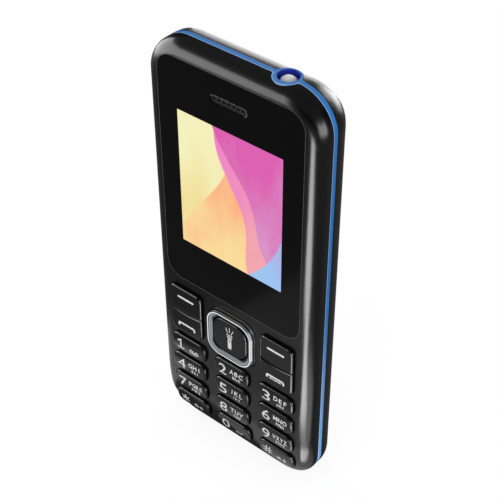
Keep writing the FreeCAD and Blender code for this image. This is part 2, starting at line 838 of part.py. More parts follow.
# ---------------------------------------------------------------- blue band and torch
def banded_ring():
    """The blue band round the phone with the torch tube blended into it, before its holes."""
    band = cut(slice_depth(body_form(0), trim_front, trim_back), slice_depth(
        body_form(trim_wall), trim_front - 1, trim_back + 1))
    tube = round_z(torch_x, middle_depth, torch_ring_radius, torch_tube_bottom, body_length)
    band = fuse(band, tube)
    corners = [edge for edge in band.Edges if is_tube_corner(edge)]
    return band.makeFillet(torch_blend, corners) if corners else band


def trim_band():
    step_z = body_length - torch_step_depth
    wide = round_z(torch_x, torch_lens_depth, torch_hole_radius, step_z, body_length + 1)
    narrow = round_z(torch_x, torch_lens_depth, torch_lens_radius + seat_gap,
                     torch_tube_bottom - 1, step_z)
    return cut(banded_ring(), wide, narrow, mic_hole())


def mic_hole():
    return round_z(mic_x, middle_depth, mic_hole_radius, -1, low_bay_bottom + 1)


def is_tube_corner(edge):
    """Upright edges where the torch tube meets the band's front and back faces."""
    room = edge.BoundBox
    upright = room.XMax - room.XMin < 1e-3 and room.YMax - room.YMin < 1e-3
    on_face = min(abs(room.YMin - trim_front), abs(room.YMin - trim_back)) < 1e-3
    near = abs(room.XMin - torch_x) < torch_ring_radius + 0.1
    return upright and on_face and near and room.ZMax > body_length - 1


def torch_lens():
    top = body_length - torch_lens_top
    shoulder = top - torch_dome_height
    rod = round_z(torch_x, torch_lens_depth, torch_lens_radius, top - torch_lens_length, shoulder)
    ball_radius = (torch_lens_radius ** 2 + torch_dome_height ** 2) / (2 * torch_dome_height)
    ball = Part.makeSphere(ball_radius, V(torch_x, torch_lens_depth, top - ball_radius))
    cap = ball.common(round_z(torch_x, torch_lens_depth, torch_lens_radius, shoulder, body_length))
    return fuse(rod, cap)


def torch_led():
    top = body_length - torch_lens_top - torch_lens_length - seat_gap
    body = box(torch_x - led_width / 2, torch_x + led_width / 2, torch_lens_depth - led_depth / 2,
               torch_lens_depth + led_depth / 2, top - led_height, top - led_die_height)
    die = round_z(torch_x, torch_lens_depth, led_die_radius, top - 2 * led_die_height, top)
    return fuse(body, die)


# ---------------------------------------------------------------- board and what it carries
def main_board():
    inset = side_wall + board_margin
    height = board_top - board_bottom
    board = plate(0, (board_top + board_bottom) / 2, body_width - 2 * inset, height,
                  corner_radius - inset, board_front, board_back)
    notches = [round_y(x, z, boss_radius + boss_notch_gap, 0, body_depth)
               for x, z in boss_places()]
    led_room = box(torch_x - led_width / 2 - boss_notch_gap, torch_x + led_width / 2 + boss_notch_gap,
                   0, body_depth, torch_led().BoundBox.ZMin - boss_notch_gap, body_length)
    return cut(board, led_room, *notches)


def shield_can():
    can = box(shield_left, shield_right, board_back, board_back + shield_height,
              shield_bottom, shield_top)
    hollow = box(shield_left + shield_wall, shield_right - shield_wall, board_back - 1,
                 board_back + shield_height - shield_wall,
                 shield_bottom + shield_wall, shield_top - shield_wall)
    return cut(can, hollow)


def card_holder(x, width, length):
    """Socket with a slot that takes a card from its upper end."""
    low = card_bay_bottom + seat_gap
    shell = box(x - width / 2, x + width / 2, board_back, board_back + sim_thickness,
                low, low + length)
    slot = box(x - width / 2 + card_frame, x + width / 2 - card_frame,
               board_back + (sim_thickness - card_slot) / 2,
               board_back + (sim_thickness + card_slot) / 2, low + card_frame, low + length + 1)
    view = plate(x, low + length / 2, width * card_view_share, length * card_view_share,
                 card_view_corner,
                 board_back + sim_thickness / 2, board_back + sim_thickness + 1)
    return cut(shell, slot, view)


def card_places():
    whole = 2 * sim_width + memory_width + 2 * card_spacing
    first = -whole / 2 + sim_width / 2
    second = first + sim_width + card_spacing
    third = second + sim_width / 2 + card_spacing + memory_width / 2
    return first, second, third


def battery():
    z = battery_bottom + battery_height / 2
    pack = plate(0, z, battery_width, battery_height, battery_radius, battery_front,
                 battery_front + battery_thickness)
    pad_half = contact_width / 2 + contact_pad_margin
    pads = [box(x - pad_half, x + pad_half, battery_front + contact_pad_front,
                battery_front + battery_thickness + 1, battery_top - contact_pad_depth,
                battery_top + 1)
            for x in contact_places()]
    return cut(pack, *pads)


def contact_places():
    first = -(contact_count - 1) / 2
    return [(first + index) * contact_pitch for index in range(contact_count)]


def battery_connector():
    low = battery_top + bay_gap + contact_reach
    block = box(-connector_width / 2, connector_width / 2, board_back,
                board_back + connector_depth, low, low + connector_height)
    tips = [round_z(x, board_back + connector_depth - contact_tip_inset, contact_width / 2,
                    battery_top + seat_gap, low + contact_reach)
            for x in contact_places()]
    return fuse(block, *tips)


def usb_socket():
    low = socket_bottom
    y = board_back + usb_height / 2
    shell = end_plate(0, y, usb_width, usb_height, usb_corner, low, low + usb_length)
    hollow = end_plate(0, y, usb_width - 2 * usb_shell, usb_height - 2 * usb_shell,
                       usb_corner - usb_shell / 2,
                       low - 1, low + usb_length - usb_shell)
    tongue = box(-usb_tongue_half, usb_tongue_half, y - usb_tongue / 2, y + usb_tongue / 2,
                 low + usb_tongue_inset, low + usb_length - usb_shell / 2)
    return fuse(cut(shell, hollow), tongue)


def usb_opening():
    return end_plate(0, board_back + usb_height / 2, usb_opening_width, usb_opening_height,
                     usb_opening_corner, -1, socket_bottom)


def jack_axis_depth():
    return board_back + jack_depth / 2


def audio_jack():
    low = socket_bottom
    body = box(jack_x - jack_width / 2, jack_x + jack_width / 2, board_back,
               board_back + jack_depth, low, low + jack_length)
    bore = round_z(jack_x, jack_axis_depth(), jack_bore_radius, low - 1, low + jack_bore_length)
    return cut(body, bore)


def jack_opening():
    return round_z(jack_x, jack_axis_depth(), jack_opening_radius, -1, socket_bottom)


def vibration_motor():
    return round_y(motor_x, motor_z, motor_radius, board_back, board_back + motor_thickness)


def microphone():
    return box(mic_x - mic_width / 2, mic_x + mic_width / 2, board_back,
               board_back + mic_thickness, board_bottom, board_bottom + mic_height)


def loudspeaker():
    basket = round_y(speaker_x, speaker_z, speaker_radius, speaker_front, speaker_back)
    cone_front = speaker_back - speaker_cone_depth
    cone_room = Part.makeCone(speaker_cone_inner, speaker_cone_outer, speaker_cone_depth,
                              V(speaker_x, cone_front, speaker_z), V(0, 1, 0))
    dome_centre = V(speaker_x, speaker_back - speaker_dome_below - speaker_dome_radius, speaker_z)
    dome = Part.makeSphere(speaker_dome_radius, dome_centre)
    dome = dome.common(round_y(speaker_x, speaker_z, speaker_cone_inner,
                               cone_front - seat_gap, speaker_back))
    return fuse(cut(basket, cone_room), dome)


def camera_module():
    half = camera_size / 2
    body = box(camera_x - half, camera_x + half, board_back, camera_body_back,
               camera_z - half, camera_z + half)
    barrel = round_y(camera_x, camera_z, camera_barrel_radius, camera_body_back,
                     camera_barrel_back)
    iris = Part.makeCone(camera_iris_inner, camera_iris_outer, camera_iris_depth,
                         V(camera_x, camera_barrel_back - camera_iris_depth, camera_z), V(0, 1, 0))
    return cut(fuse(body, barrel), iris)


def camera_window():
    return round_y(camera_x, camera_z, camera_window_radius,
                   body_depth - camera_window_thickness, body_depth)


# ---------------------------------------------------------------- chassis, rear cover, screws
def rear_chassis():
    low = slice_depth(body_form(chassis_inset_front), chassis_front, trim_back)
    high = slice_depth(body_form(cover_wall + cover_gap), trim_back, chassis_back)
    block = fuse(low, high)
    bay_z = battery_bottom + battery_height / 2
    bay = plate(0, bay_z, battery_width + 2 * bay_gap, battery_height + 2 * bay_gap,
                battery_radius + bay_gap, bay_floor, body_depth)
    contact_room = box(-connector_width / 2 - bay_gap, connector_width / 2 + bay_gap,
                       chassis_front - 1, body_depth, battery_top,
                       battery_top + bay_gap + contact_reach + connector_height + bay_gap)
    card_bay = box(-card_bay_half, card_bay_half, chassis_front - 1, body_depth,
                   card_bay_bottom - bay_gap, card_bay_top)
    top_bay = box(-top_bay_half, top_bay_half, chassis_front - 1, top_bay_back,
                  top_bay_bottom, top_bay_top)
    low_bay = box(-low_bay_half, low_bay_half, chassis_front - 1, low_bay_back,
                  low_bay_bottom, low_bay_top)
    port = round_y(speaker_x, speaker_z, speaker_port_radius, top_bay_back - 1, body_depth)
    camera_hole = round_y(camera_x, camera_z, camera_barrel_radius + bay_gap, top_bay_back - 1,
                          body_depth)
    torch_room = torch_ring_room(bay_gap)
    led_room = box(torch_x - led_width / 2 - 2 * bay_gap, torch_x + led_width / 2 + 2 * bay_gap,
                   chassis_front - 1, torch_lens_depth + torch_lens_radius + bay_gap,
                   top_bay_top - 1, torch_tube_bottom)
    holes = []
    for x, z in boss_places():
        holes.append(round_y(x, z, screw_bore_radius, chassis_front - 1, body_depth))
        holes.append(round_y(x, z, screw_head_radius + screw_head_gap, screw_seat,
                             body_depth))
    block = cut(block, bay, contact_room, card_bay, top_bay, low_bay, port, camera_hole,
                torch_room, led_room, low_usb_room(), low_jack_room(), mic_hole(),
                banded_ring(), *holes)
    return cut(block, *cover_ribs(rib_gap))


def low_usb_room():
    return end_plate(0, board_back + usb_height / 2, usb_opening_width, usb_opening_height,
                     usb_opening_corner, -1, low_bay_bottom + 1)


def low_jack_room():
    half = jack_width / 2 + bay_gap
    return box(jack_x - half, jack_x + half, chassis_front - 1,
               board_back + jack_depth + bay_gap / 2, -1, low_bay_bottom + 1)


def cover_ribs(grow):
    """Bars inside the rear cover's side walls that ride in grooves of the chassis."""
    inner = half_width - cover_wall
    ribs = []
    for z in rib_heights:
        for side in (-1, 1):
            x0, x1 = sorted((side * (inner - rib_depth - grow), side * (inner + cover_wall / 2)))
            ribs.append(box(x0, x1, trim_back + rib_clear_of_rim * (grow == 0),
                            chassis_back if grow else chassis_back - back_edge_radius / 2,
                            z - rib_width / 2 - grow, z + rib_width / 2 + grow))
    return ribs


def speaker_grille():
    holes = []
    for row in range(-2, 3):
        for column in range(-2, 3):
            if abs(row) + abs(column) < 4:
                holes.append(round_y(speaker_x + column * grille_pitch,
                                     speaker_z + row * grille_pitch,
                                     grille_hole_radius, chassis_back, body_depth + 1))
    return holes


def back_cover():
    shell = slice_depth(body_form(0), trim_back, body_depth + 1)
    inside = slice_depth(body_form(cover_wall), trim_back - 1, body_depth)
    shell = cut(shell, inside)
    ribs = [rib.common(slice_depth(body_form(cover_wall / 2), trim_back, body_depth))
            for rib in cover_ribs(0)]
    shell = fuse(shell, *ribs)
    nail = Part.makeCylinder(
        nail_slot_radius, nail_slot_width,
        V(nail_slot_x - nail_slot_width / 2, trim_back, nail_slot_depth - nail_slot_radius),
        V(1, 0, 0))
    camera_seat = round_y(camera_x, camera_z, camera_window_radius + seat_gap,
                          body_depth - camera_window_thickness, body_depth + 1)
    camera_view = round_y(camera_x, camera_z, camera_view_radius, chassis_back, body_depth + 1)
    return cut(shell, torch_ring_room(seat_gap), banded_ring(), usb_opening(),
               jack_opening(), nail, camera_seat, camera_view, *speaker_grille())


def housing_screws():
    screws = []
    for x, z in boss_places():
        shank = round_y(x, z, screw_radius, screw_seat - screw_length, screw_seat)
        head = round_y(x, z, screw_head_radius, screw_seat, screw_seat + screw_head_height)
        top = screw_seat + screw_head_height
        reach = screw_slot_reach
        slots = [box(x - reach, x + reach, top - screw_slot_depth, top + 1,
                     z - screw_slot_width / 2, z + screw_slot_width / 2),
                 box(x - screw_slot_width / 2, x + screw_slot_width / 2,
                     top - screw_slot_depth, top + 1, z - reach, z + reach)]
        screws.append(cut(fuse(shank, head), *slots))
    return Part.makeCompound(screws)


# ---------------------------------------------------------------- writing the pieces
def save(node, shape):
    placed = shape.copy()
    placed.translate(V(0, origin_shift, 0))
    solids = placed.Solids
    if not placed.isValid() or not solids:
        raise ValueError(node + " is not a valid solid")
    result = solids[0] if len(solids) == 1 else Part.makeCompound(solids)
    result.exportStep(os.path.join("parts", node + ".step"))
    room = result.BoundBox
    print("%-20s solids %2d volume %9.2f  x %7.2f %7.2f  y %6.2f %6.2f  z %7.2f %7.2f" % (
        node, len(solids), result.Volume, room.XMin, room.XMax, room.YMin, room.YMax,
        room.ZMin, room.ZMax))


def write_parts():
    os.makedirs("parts", exist_ok=True)
    save("front_housing", front_housing())
    save("display_window", display_window())
    save("window_tape", window_tape())
    save("earpiece_mesh", earpiece_mesh())
    save("earpiece_receiver", earpiece_receiver())
    save("lcd_panel", lcd_panel())
    save("backlight_unit", backlight_unit())
    save("lcd_flex", lcd_flex())
    save("trim_band", trim_band())
    save("torch_lens", torch_lens())
    save("torch_led", torch_led())
    save("soft_key_left", side_key(-side_key_x, True))
    save("call_key", side_key(-side_key_x, False))
    save("soft_key_right", side_key(side_key_x, True))
    save("end_key", side_key(side_key_x, False))
    save("nav_ring", nav_ring())
    save("nav_carrier", nav_carrier())
    save("ok_key", ok_key())
    for name, x, z in digit_places():
        save(name, digit_key(x, z))
    save("keypad_mat", keypad_mat())
    save("dome_sheet", dome_sheet())
    save("main_board", main_board())
    save("shield_can", shield_can())
    first, second, third = card_places()
    save("sim_holder_left", card_holder(first, sim_width, sim_length))
    save("sim_holder_right", card_holder(second, sim_width, sim_length))
    save("memory_card_holder", card_holder(third, memory_width, memory_length))
    save("battery", battery())
    save("battery_connector", battery_connector())
    save("usb_socket", usb_socket())
    save("audio_jack", audio_jack())
    save("vibration_motor", vibration_motor())
    save("microphone", microphone())
    save("loudspeaker", loudspeaker())
    save("camera_module", camera_module())
    save("camera_window", camera_window())
    save("rear_chassis", rear_chassis())
    save("back_cover", back_cover())
    save("housing_screws", housing_screws())


write_parts()
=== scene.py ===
import bmesh
import bpy
import math
from mathutils import Euler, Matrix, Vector


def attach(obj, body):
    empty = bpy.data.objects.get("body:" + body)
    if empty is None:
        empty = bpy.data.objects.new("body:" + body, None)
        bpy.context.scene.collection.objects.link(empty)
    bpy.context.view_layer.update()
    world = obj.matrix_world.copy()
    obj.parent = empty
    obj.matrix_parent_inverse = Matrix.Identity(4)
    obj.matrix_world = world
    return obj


# Bar phone in black plastic with a blue band: finishes, key legends, the lit display,
# a plain studio and the camera. Lengths are millimetres until place() turns them to metres.
# X runs to the right of someone who faces the screen, Z up, and the screen faces -Y.

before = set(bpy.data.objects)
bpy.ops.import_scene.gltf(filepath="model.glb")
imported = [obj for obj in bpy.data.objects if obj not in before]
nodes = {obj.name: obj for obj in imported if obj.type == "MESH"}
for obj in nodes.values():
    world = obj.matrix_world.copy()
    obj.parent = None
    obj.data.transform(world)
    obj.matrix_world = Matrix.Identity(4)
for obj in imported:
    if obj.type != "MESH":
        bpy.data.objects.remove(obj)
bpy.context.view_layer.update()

MILLIMETRE = 0.001           # in metres

# ---------------------------------------------------------------- places on the phone
FACE = -5.5                  # the flat front face
CAP_RISE = 0.85              # key tops above the face
OK_RISE = 0.9
CHIN_RADIUS = 60.0           # the face bends back in this arc
CHIN_START = 16.5            # from this height downwards
COLUMN_PITCH = 13.35
ROW_PITCH = 6.65
FIRST_ROW_Z = 26.5
CROWN_RADIUS = 14.0          # the digit keys bulge along the phone
PRINT_THICKNESS = 0.02
PRINT_STEP = 0.3             # legends are cut this fine to follow a bent key

DIGIT_SIZE = (2.3, 3.1)
DIGIT_SHIFT = (-2.45, -0.1)
DIGIT_STROKE = 0.42
STAR_REACH = 1.15
STAR_STROKE = 0.34
SIGN_STROKE = 0.3            # hash, small signs and the bars of the other signs
LETTER_HEIGHT = 1.35
LETTER_SHIFT = (1.75, 0.55)
LETTER_PITCH = {3: 1.4, 4: 1.12}
SMALL_LETTER_HEIGHT = 0.95
SMALL_LETTER_SHIFT = (1.75, -1.15)
SMALL_LETTER_PITCH = {3: 0.85, 4: 0.72}
SMALL_SIGN_RISE = 0.35       # middle of a small sign, over that of the small letters
LETTER_BOLDER = 0.02         # added to each stroke's edges, for letters of height 1
LETTER_FILL = 0.86           # widest letter, as a share of its pitch

SIDE_KEY_X = 13.5
DASH_SIZE = (5.0, 0.6)
DASH_Z = 42.15
HANDSET_Z = 33.8
HANDSET_HALF = 2.4
HANDSET_DROP = 0.75
HANDSET_STROKE = 0.55
REST_HALF = 1.6              # the bar on which the end key's handset lies

BEAM_FOOT_Z = 40.0           # torch sign
BEAM_TIP_Z = 41.3
BEAM_STROKE = 0.2
HANDLE_Z = 36.1
HANDLE_HALF = (0.52, 1.5)
HANDLE_RADIUS = 0.35
SWITCH_Z = 36.9
SWITCH_RADIUS = 0.2

SCREEN_Z = 77.5
SCREEN_HALF = (14.015, 17.52)
SCREEN_CORNER = 0.12
WINDOW_HALF = (19.2, 29.8)
WINDOW_RADIUS = 4.2
BEAD_OUT = 0.06              # middle of the bead, outside the window
BEAD_RADIUS = 0.06
BEAD_RISE = 0.5              # height of a bead, as a share of its radius
EAR_Z = 101.6
EAR_HALF = (4.8, 0.95)
EAR_BEAD_RADIUS = 0.13

RING_Z = 37.9                # five-way key
RIM_HALF = 6.5
RIM_RADIUS = 3.6
RIM_HIGHLIGHT = 0.2               # the painted highlight line, inside the rim's outer edge
RIM_HIGHLIGHT_HALF = 0.07
BOWL_START = 0.45            # the inner slope, inside the rim's outer edge
BOWL_END = 1.3
TORCH_RING_PLACE = (10.8, -0.5)
TORCH_RING_RADIUS = 3.1
TORCH_RING_LOW_Z = 100.0     # the band belongs to the torch ring only above this
TORCH_HOLE_PLACE = (10.8, -0.15)
TORCH_HOLE_RADIUS = 2.35
CAMERA_WINDOW_PLACE = (0.0, 97.6)
BAND_FRONT = -1.1
BAND_EDGE = 0.14             # width of the painted highlight along the blue band's front edge
FILM_FRONT = -1.6            # the steel domes stand in front of this
LED_TOP_Z = 105.9            # the phosphor lies above this
CONTACT_TIP_Z = 62.6         # the battery contacts are gold below this
LABEL_Z = (27.0, 58.0)       # pale field on the battery
STRIPE_Z = (29.0, 32.0)

# ---------------------------------------------------------------- studio
WALL_RADIUS = 3000.0
WALL_HEIGHT = 1600.0
WALL_SIDES = 64
GLOW_REACH = (300.0, 800.0)  # the floor's glow grows where the lamps no longer reach it
FLOOR_GLOW = 0.88
FLOOR_LAMP_Z = 1.0
STRIP_START = Vector((21.0, -5.0))     # the phone's right front corner
STRIP_RUN = Vector((0.21, -0.98))      # the floor strips run outward from there
PANEL_LUMINANCE = 32.0
IMAGE_DEPTH = 2.5            # greatest ray depth at which a panel still shows
WORLD_LEVEL = 0.15
CAMERA_PLACE = (132.871, -157.867, 236.573)
CAMERA_TURN = (49.5984, 0.1355, 39.7816)
CAMERA_LENS = 88.0835
CAMERA_CLIP = (0.01, 20.0)   # metres
SENSOR_WIDTH = 36.0

BLACK = (0.0, 0.0, 0.0, 1.0)
WHITE = (1.0, 1.0, 1.0, 1.0)


def place(x, y, z):
    return Vector((x, y, z)) * MILLIMETRE


def srgb(code):
    """Linear colour of a six-digit hex code."""
    values = [int(code[start:start + 2], 16) / 255 for start in (0, 2, 4)]
    linear = [v / 12.92 if v <= 0.04045 else ((v + 0.055) / 1.055) ** 2.4 for v in values]
    return (*linear, 1.0)


def scaled(colour, factor):
    return (*[channel * factor for channel in colour[:3]], 1.0)


# ---------------------------------------------------------------- finishes
class Finish:
    """A material and short ways to add nodes to it. Sizes are given in millimetres."""

    def __init__(self, name, **settings):
        self.material = bpy.data.materials.new(name)
        self.material.use_nodes = True
        self.tree = self.material.node_tree
        self.shader = self.tree.nodes["Principled BSDF"]
        for socket, value in settings.items():
            self.set(socket.replace("_", " "), value)
        self.points = self.node("TexCoord").outputs["Object"]

    def feed(self, socket, value):
        if isinstance(value, bpy.types.NodeSocket):
            self.tree.links.new(value, socket)
        else:
            socket.default_value = value

    def set(self, socket, value):
        self.feed(self.shader.inputs[socket], value)

    def node(self, kind, inputs=None, **settings):
        made = self.tree.nodes.new("ShaderNode" + kind)
        for name, value in settings.items():
            setattr(made, name, value)
        for socket, value in (inputs or {}).items():
            self.feed(made.inputs[socket], value)
        return made

    def math(self, operation, *values):
        numbers = dict(enumerate(values))
        return self.node("Math", numbers, operation=operation).outputs[0]

    def axis(self, letter):
        """One coordinate of the surface point, in millimetres."""
        split = self.node("SeparateXYZ", {0: self.points}).outputs[letter]
        return self.math("DIVIDE", split, MILLIMETRE)

    def stretched(self, x, y, z):
        scaling = self.node("Mapping", {"Vector": self.points, "Scale": (x, y, z)})
        return scaling.outputs[0]

    def noise(self, size, detail=2.0, points=None):
        texture = self.node("TexNoise", {
            "Vector": points or self.points, "Scale": 1 / (size * MILLIMETRE), "Detail": detail})
        return texture.outputs[0]

    def cells(self, size, feature="F1"):
        texture = self.node("TexVoronoi", {
            "Vector": self.points, "Scale": 1 / (size * MILLIMETRE)}, feature=feature)
        return texture.outputs["Distance"]

    def waves(self, value, length):
        return self.math("SINE", self.math("MULTIPLY", value, 2 * math.pi / length))

    def ramp(self, value, low, high, to_low=0.0, to_high=1.0):
        """Value carried from one range to another, held at its ends."""
        return self.node("MapRange", {
            0: value, 1: low, 2: high, 3: to_low, 4: to_high}).outputs[0]

    def below(self, value, limit, edge):
        """One up to a limit and nought beyond it, with an edge of this width."""
        return self.ramp(value, limit, limit + edge, 1.0, 0.0)

    def between(self, value, low, high, edge):
        """One between two limits, with an edge of this width after each."""
        return self.math("MULTIPLY", self.ramp(value, low, low + edge),
                         self.below(value, high, edge))

    def mix(self, factor, first, second):
        made = self.node("Mix", data_type="RGBA")
        self.feed(made.inputs[0], factor)
        self.feed(made.inputs[6], first)
        self.feed(made.inputs[7], second)
        return made.outputs[2]

    def length(self, values):
        """Length of a vector with these two parts."""
        squares = [self.math("MULTIPLY", value, value) for value in values]
        return self.math("SQRT", self.math("ADD", *squares))

    def distance(self, first, second, centre):
        """Distance from a place, measured along two axes."""
        return self.length([self.math("SUBTRACT", self.axis(letter), middle)
                            for letter, middle in zip((first, second), centre)])

    def depth_inside(self, middle_z, half_x, half_z, radius):
        """How far a point of the face lies inside a rounded outline centred on X = 0."""
        beyond_x = self.math("SUBTRACT", self.math("ABSOLUTE", self.axis("X")), half_x - radius)
        from_middle = self.math("SUBTRACT", self.axis("Z"), middle_z)
        beyond_z = self.math("SUBTRACT", self.math("ABSOLUTE", from_middle), half_z - radius)
        reach = self.length([self.math("MAXIMUM", value, 0.0) for value in (beyond_x, beyond_z)])
        along = self.math("MINIMUM", self.math("MAXIMUM", beyond_x, beyond_z), 0.0)
        return self.math("SUBTRACT", radius, self.math("ADD", reach, along))

    def bump(self, height, depth):
        made = self.node("Bump", {
            "Height": height, "Distance": depth * MILLIMETRE, "Strength": 1.0})
        self.set("Normal", made.outputs[0])


def plastic(name, colour, roughness, specular, grain=0.14, depth=0.003, spread=0.15):
    """Moulded plastic: cloudy tone, a fine grain and uneven polish."""
    made = Finish(name, Specular_IOR_Level=specular)
    cloud = made.ramp(made.noise(8.0, 3.0), 0.3, 0.7)
    made.set("Base Color", made.mix(cloud, scaled(colour, 1 - spread), scaled(colour, 1 + spread)))
    polish = made.ramp(made.noise(2.5, 3.0), 0.3, 0.7, roughness * 0.95, roughness * 1.05)
    made.set("Roughness", polish)
    made.bump(made.noise(grain, 3.0), depth)
    return made


def metal(name, colour, roughness, brush=(1, 1, 1)):
    """Metal with fine brush marks along the axis that is scaled least."""
    made = Finish(name, Metallic=1.0)
    marks = made.noise(0.2, 3.0, made.stretched(*brush))
    made.set("Base Color", made.mix(marks, scaled(colour, 0.85), scaled(colour, 1.1)))
    made.set("Roughness", made.ramp(marks, 0.3, 0.7, roughness * 0.7, roughness * 1.3))
    made.bump(marks, 0.002)
    return made


def window_plate():
    """Gloss black plate, printed from behind, whose clear middle shows the lit display."""
    made = plastic("window_black", (0.0012, 0.0012, 0.0014, 1.0), 0.14, 0.22, depth=0.0)
    shown = made.ramp(made.depth_inside(SCREEN_Z, *SCREEN_HALF, SCREEN_CORNER), -0.01, 0.01)
    in_front = made.below(made.axis("Y"), FACE + 0.1, 0.1)
    shown = made.math("MULTIPLY", shown, in_front)
    made.set("Emission Color", made.mix(shown, BLACK, dunes(made)))
    made.set("Emission Strength", 1.0)
    return made


def dunes(made):
    """Soft bands of colour from yellow through peach and pink to pale blue."""
    u = made.math("DIVIDE", made.axis("X"), SCREEN_HALF[0])
    v = made.math("DIVIDE", made.math("SUBTRACT", made.axis("Z"), SCREEN_Z), SCREEN_HALF[1])
    bands = (
        # colours low and high in the band, slope, place, wave height, waves, start
        ("f9dc9c", "fca47c", 0.62, -0.42, 0.10, 3.1, 0.6),
        ("f2a8ac", "ee84c4", -0.35, 0.10, 0.11, 3.7, 2.2),
        ("d894c8", "dc60b0", -0.62, 0.38, 0.09, 4.3, 0.9),
        ("9cc4f0", "bca0d8", 0.95, 1.22, 0.14, 3.3, 4.0),
    )
    drift = made.ramp(made.noise(7.0, 4.0, made.stretched(1.0, 1.0, 0.45)), 0.3, 0.7, -0.7, 0.7)
    height_tone = made.ramp(made.math("ADD", v, drift), -1.0, 1.0)
    colour = made.mix(height_tone, srgb("f2dc94"), srgb("f4f0bc"))
    for low, high, slope, offset, height, waves, start in bands:
        tone = made.mix(height_tone, srgb(low), srgb(high))
        wave = made.math("SINE", made.math("MULTIPLY_ADD", v, waves, start))
        edge = made.math("MULTIPLY_ADD", v, slope, offset)
        edge = made.math("MULTIPLY_ADD", wave, height, edge)
        side = made.math("SUBTRACT", u, edge)
        colour = made.mix(made.ramp(side, -0.008, 0.008), colour, tone)
    return colour


def ring_chrome():
    """Chrome whose colour carries painted reflections and shade: light and dark streaks along the
    slopes, near-black painted shade at both ends of the inner slope and a painted highlight line
    round the rim.
    """
    made = Finish("ring_chrome", Metallic=1.0)
    inside = made.depth_inside(RING_Z, RIM_HALF, RIM_HALF, RIM_RADIUS)
    level = made.math("ADD", inside, made.axis("Y"))
    across = made.node("CombineXYZ", {"X": level}).outputs[0]
    streaks = made.node("TexNoise", {"Vector": across, "Scale": 3.4, "Detail": 1.0}).outputs[0]
    # Painted reflections: the plating's colour runs in light and dark streaks on the outer slope
    # and in the bowl; the same streaks vary the roughness.
    slopes = made.mix(made.ramp(streaks, 0.42, 0.56), srgb("3a3b3d"), srgb("c8cacd"))
    bowl = made.mix(made.ramp(streaks, 0.4, 0.6), srgb("6a6b6d"), srgb("b2b3b5"))
    # Painted shade: the inner slope turns near-black at its upper and lower ends.
    bowl_unshaded_middle = made.between(inside, BOWL_START, BOWL_END - 0.25, 0.2)
    bowl = made.mix(bowl_unshaded_middle, srgb("161718"), bowl)
    slopes = made.mix(made.ramp(inside, BOWL_START - 0.05, BOWL_START), slopes, bowl)
    # Painted highlight: a near-white, smoother line round the rim.
    from_rim_highlight = made.math("ABSOLUTE", made.math("SUBTRACT", inside, RIM_HIGHLIGHT))
    rim_highlight = made.below(from_rim_highlight, RIM_HIGHLIGHT_HALF, 0.08)
    made.set("Base Color", made.mix(rim_highlight, slopes, srgb("f4f5f6")))
    polish = made.ramp(streaks, 0.3, 0.7, 0.24, 0.34)
    made.set("Roughness", made.ramp(rim_highlight, 0.0, 1.0, polish, 0.12))
    return made


def band_blue():
    """Blue band with a painted highlight, pale along its front edge, and painted shade, a darker,
    deeper blue inside the torch hole.
    """
    made = plastic("band_blue", srgb("2e74ba"), 0.35, 0.12, spread=0.05, depth=0.001)
    plain = made.shader.inputs["Base Color"].links[0].from_socket
    # Painted highlight: the band's front edge turns pale; round the torch ring only the ring's
    # outer edge does.
    in_front = made.below(made.axis("Y"), BAND_FRONT + BAND_EDGE, 0.05)
    from_axis = made.distance("X", "Y", TORCH_RING_PLACE)
    high = made.ramp(made.axis("Z"), TORCH_RING_LOW_Z, TORCH_RING_LOW_Z + 1.0)
    on_ring = made.math("MULTIPLY", made.below(from_axis, TORCH_RING_RADIUS + 0.1, 0.2), high)
    highlight_from = TORCH_RING_RADIUS - BAND_EDGE
    ring_edge = made.ramp(from_axis, highlight_from - 0.05, highlight_from)
    off_ring = made.math("SUBTRACT", 1.0, on_ring)
    edge_highlight = made.math("MULTIPLY", in_front, made.math("MAXIMUM", off_ring, ring_edge))
    # Painted shade: the wall of the torch hole is a darker, deeper blue.
    from_hole = made.distance("X", "Y", TORCH_HOLE_PLACE)
    hole_shade = made.math("MULTIPLY", made.below(from_hole, TORCH_HOLE_RADIUS + 0.01, 0.03), high)
    edged = made.mix(made.math("MULTIPLY", edge_highlight, 0.42), plain, srgb("cfe2fa"))
    made.set("Base Color", made.mix(hole_shade, edged, srgb("2733a0")))
    return made


def camera_glass():
    """Gloss black cover over the camera: a coated lens in a fine turned ring."""
    made = Finish("camera_glass", Roughness=0.08)
    from_axis = made.distance("X", "Z", CAMERA_WINDOW_PLACE)
    coating = made.mix(made.ramp(from_axis, 0.3, 1.1), srgb("1c1236"), srgb("0a1c3a"))
    barrel = made.mix(made.ramp(from_axis, 1.2, 1.25), coating, srgb("050506"))
    on_ring = made.between(from_axis, 2.1, 2.3, 0.05)
    made.set("Base Color", made.mix(on_ring, barrel, srgb("4c4e52")))
    made.set("Coat Weight", 0.3)
    made.bump(made.waves(from_axis, 0.3), 0.004)
    return made


def speaker_cloth():
    """Woven black cloth over the loudspeaker, behind the holes of the back."""
    made = Finish("speaker_cloth", Roughness=0.8)
    weave = made.cells(0.3)
    made.set("Base Color", made.mix(made.ramp(weave, 0.1, 0.5), srgb("0c0c0d"), srgb("232426")))
    made.bump(weave, 0.02)
    return made


def lens():
    """Frosted dome with faint moulded rings, its colour painted with shade: lighter in the middle,
    darker towards the edge.
    """
    made = Finish("torch_lens", Transmission_Weight=0.1, IOR=1.49, Specular_IOR_Level=0.3)
    from_axis = made.distance("X", "Y", TORCH_HOLE_PLACE)
    # Painted shade: the dome's colour darkens from its middle to its edge.
    dome_shade = made.ramp(from_axis, 0.4, 1.9)
    made.set("Base Color", made.mix(dome_shade, srgb("dcdcde"), srgb("b4b2c0")))
    made.set("Roughness", made.ramp(made.noise(0.5), 0.3, 0.7, 0.25, 0.35))
    made.bump(made.waves(from_axis, 0.35), 0.008)
    return made


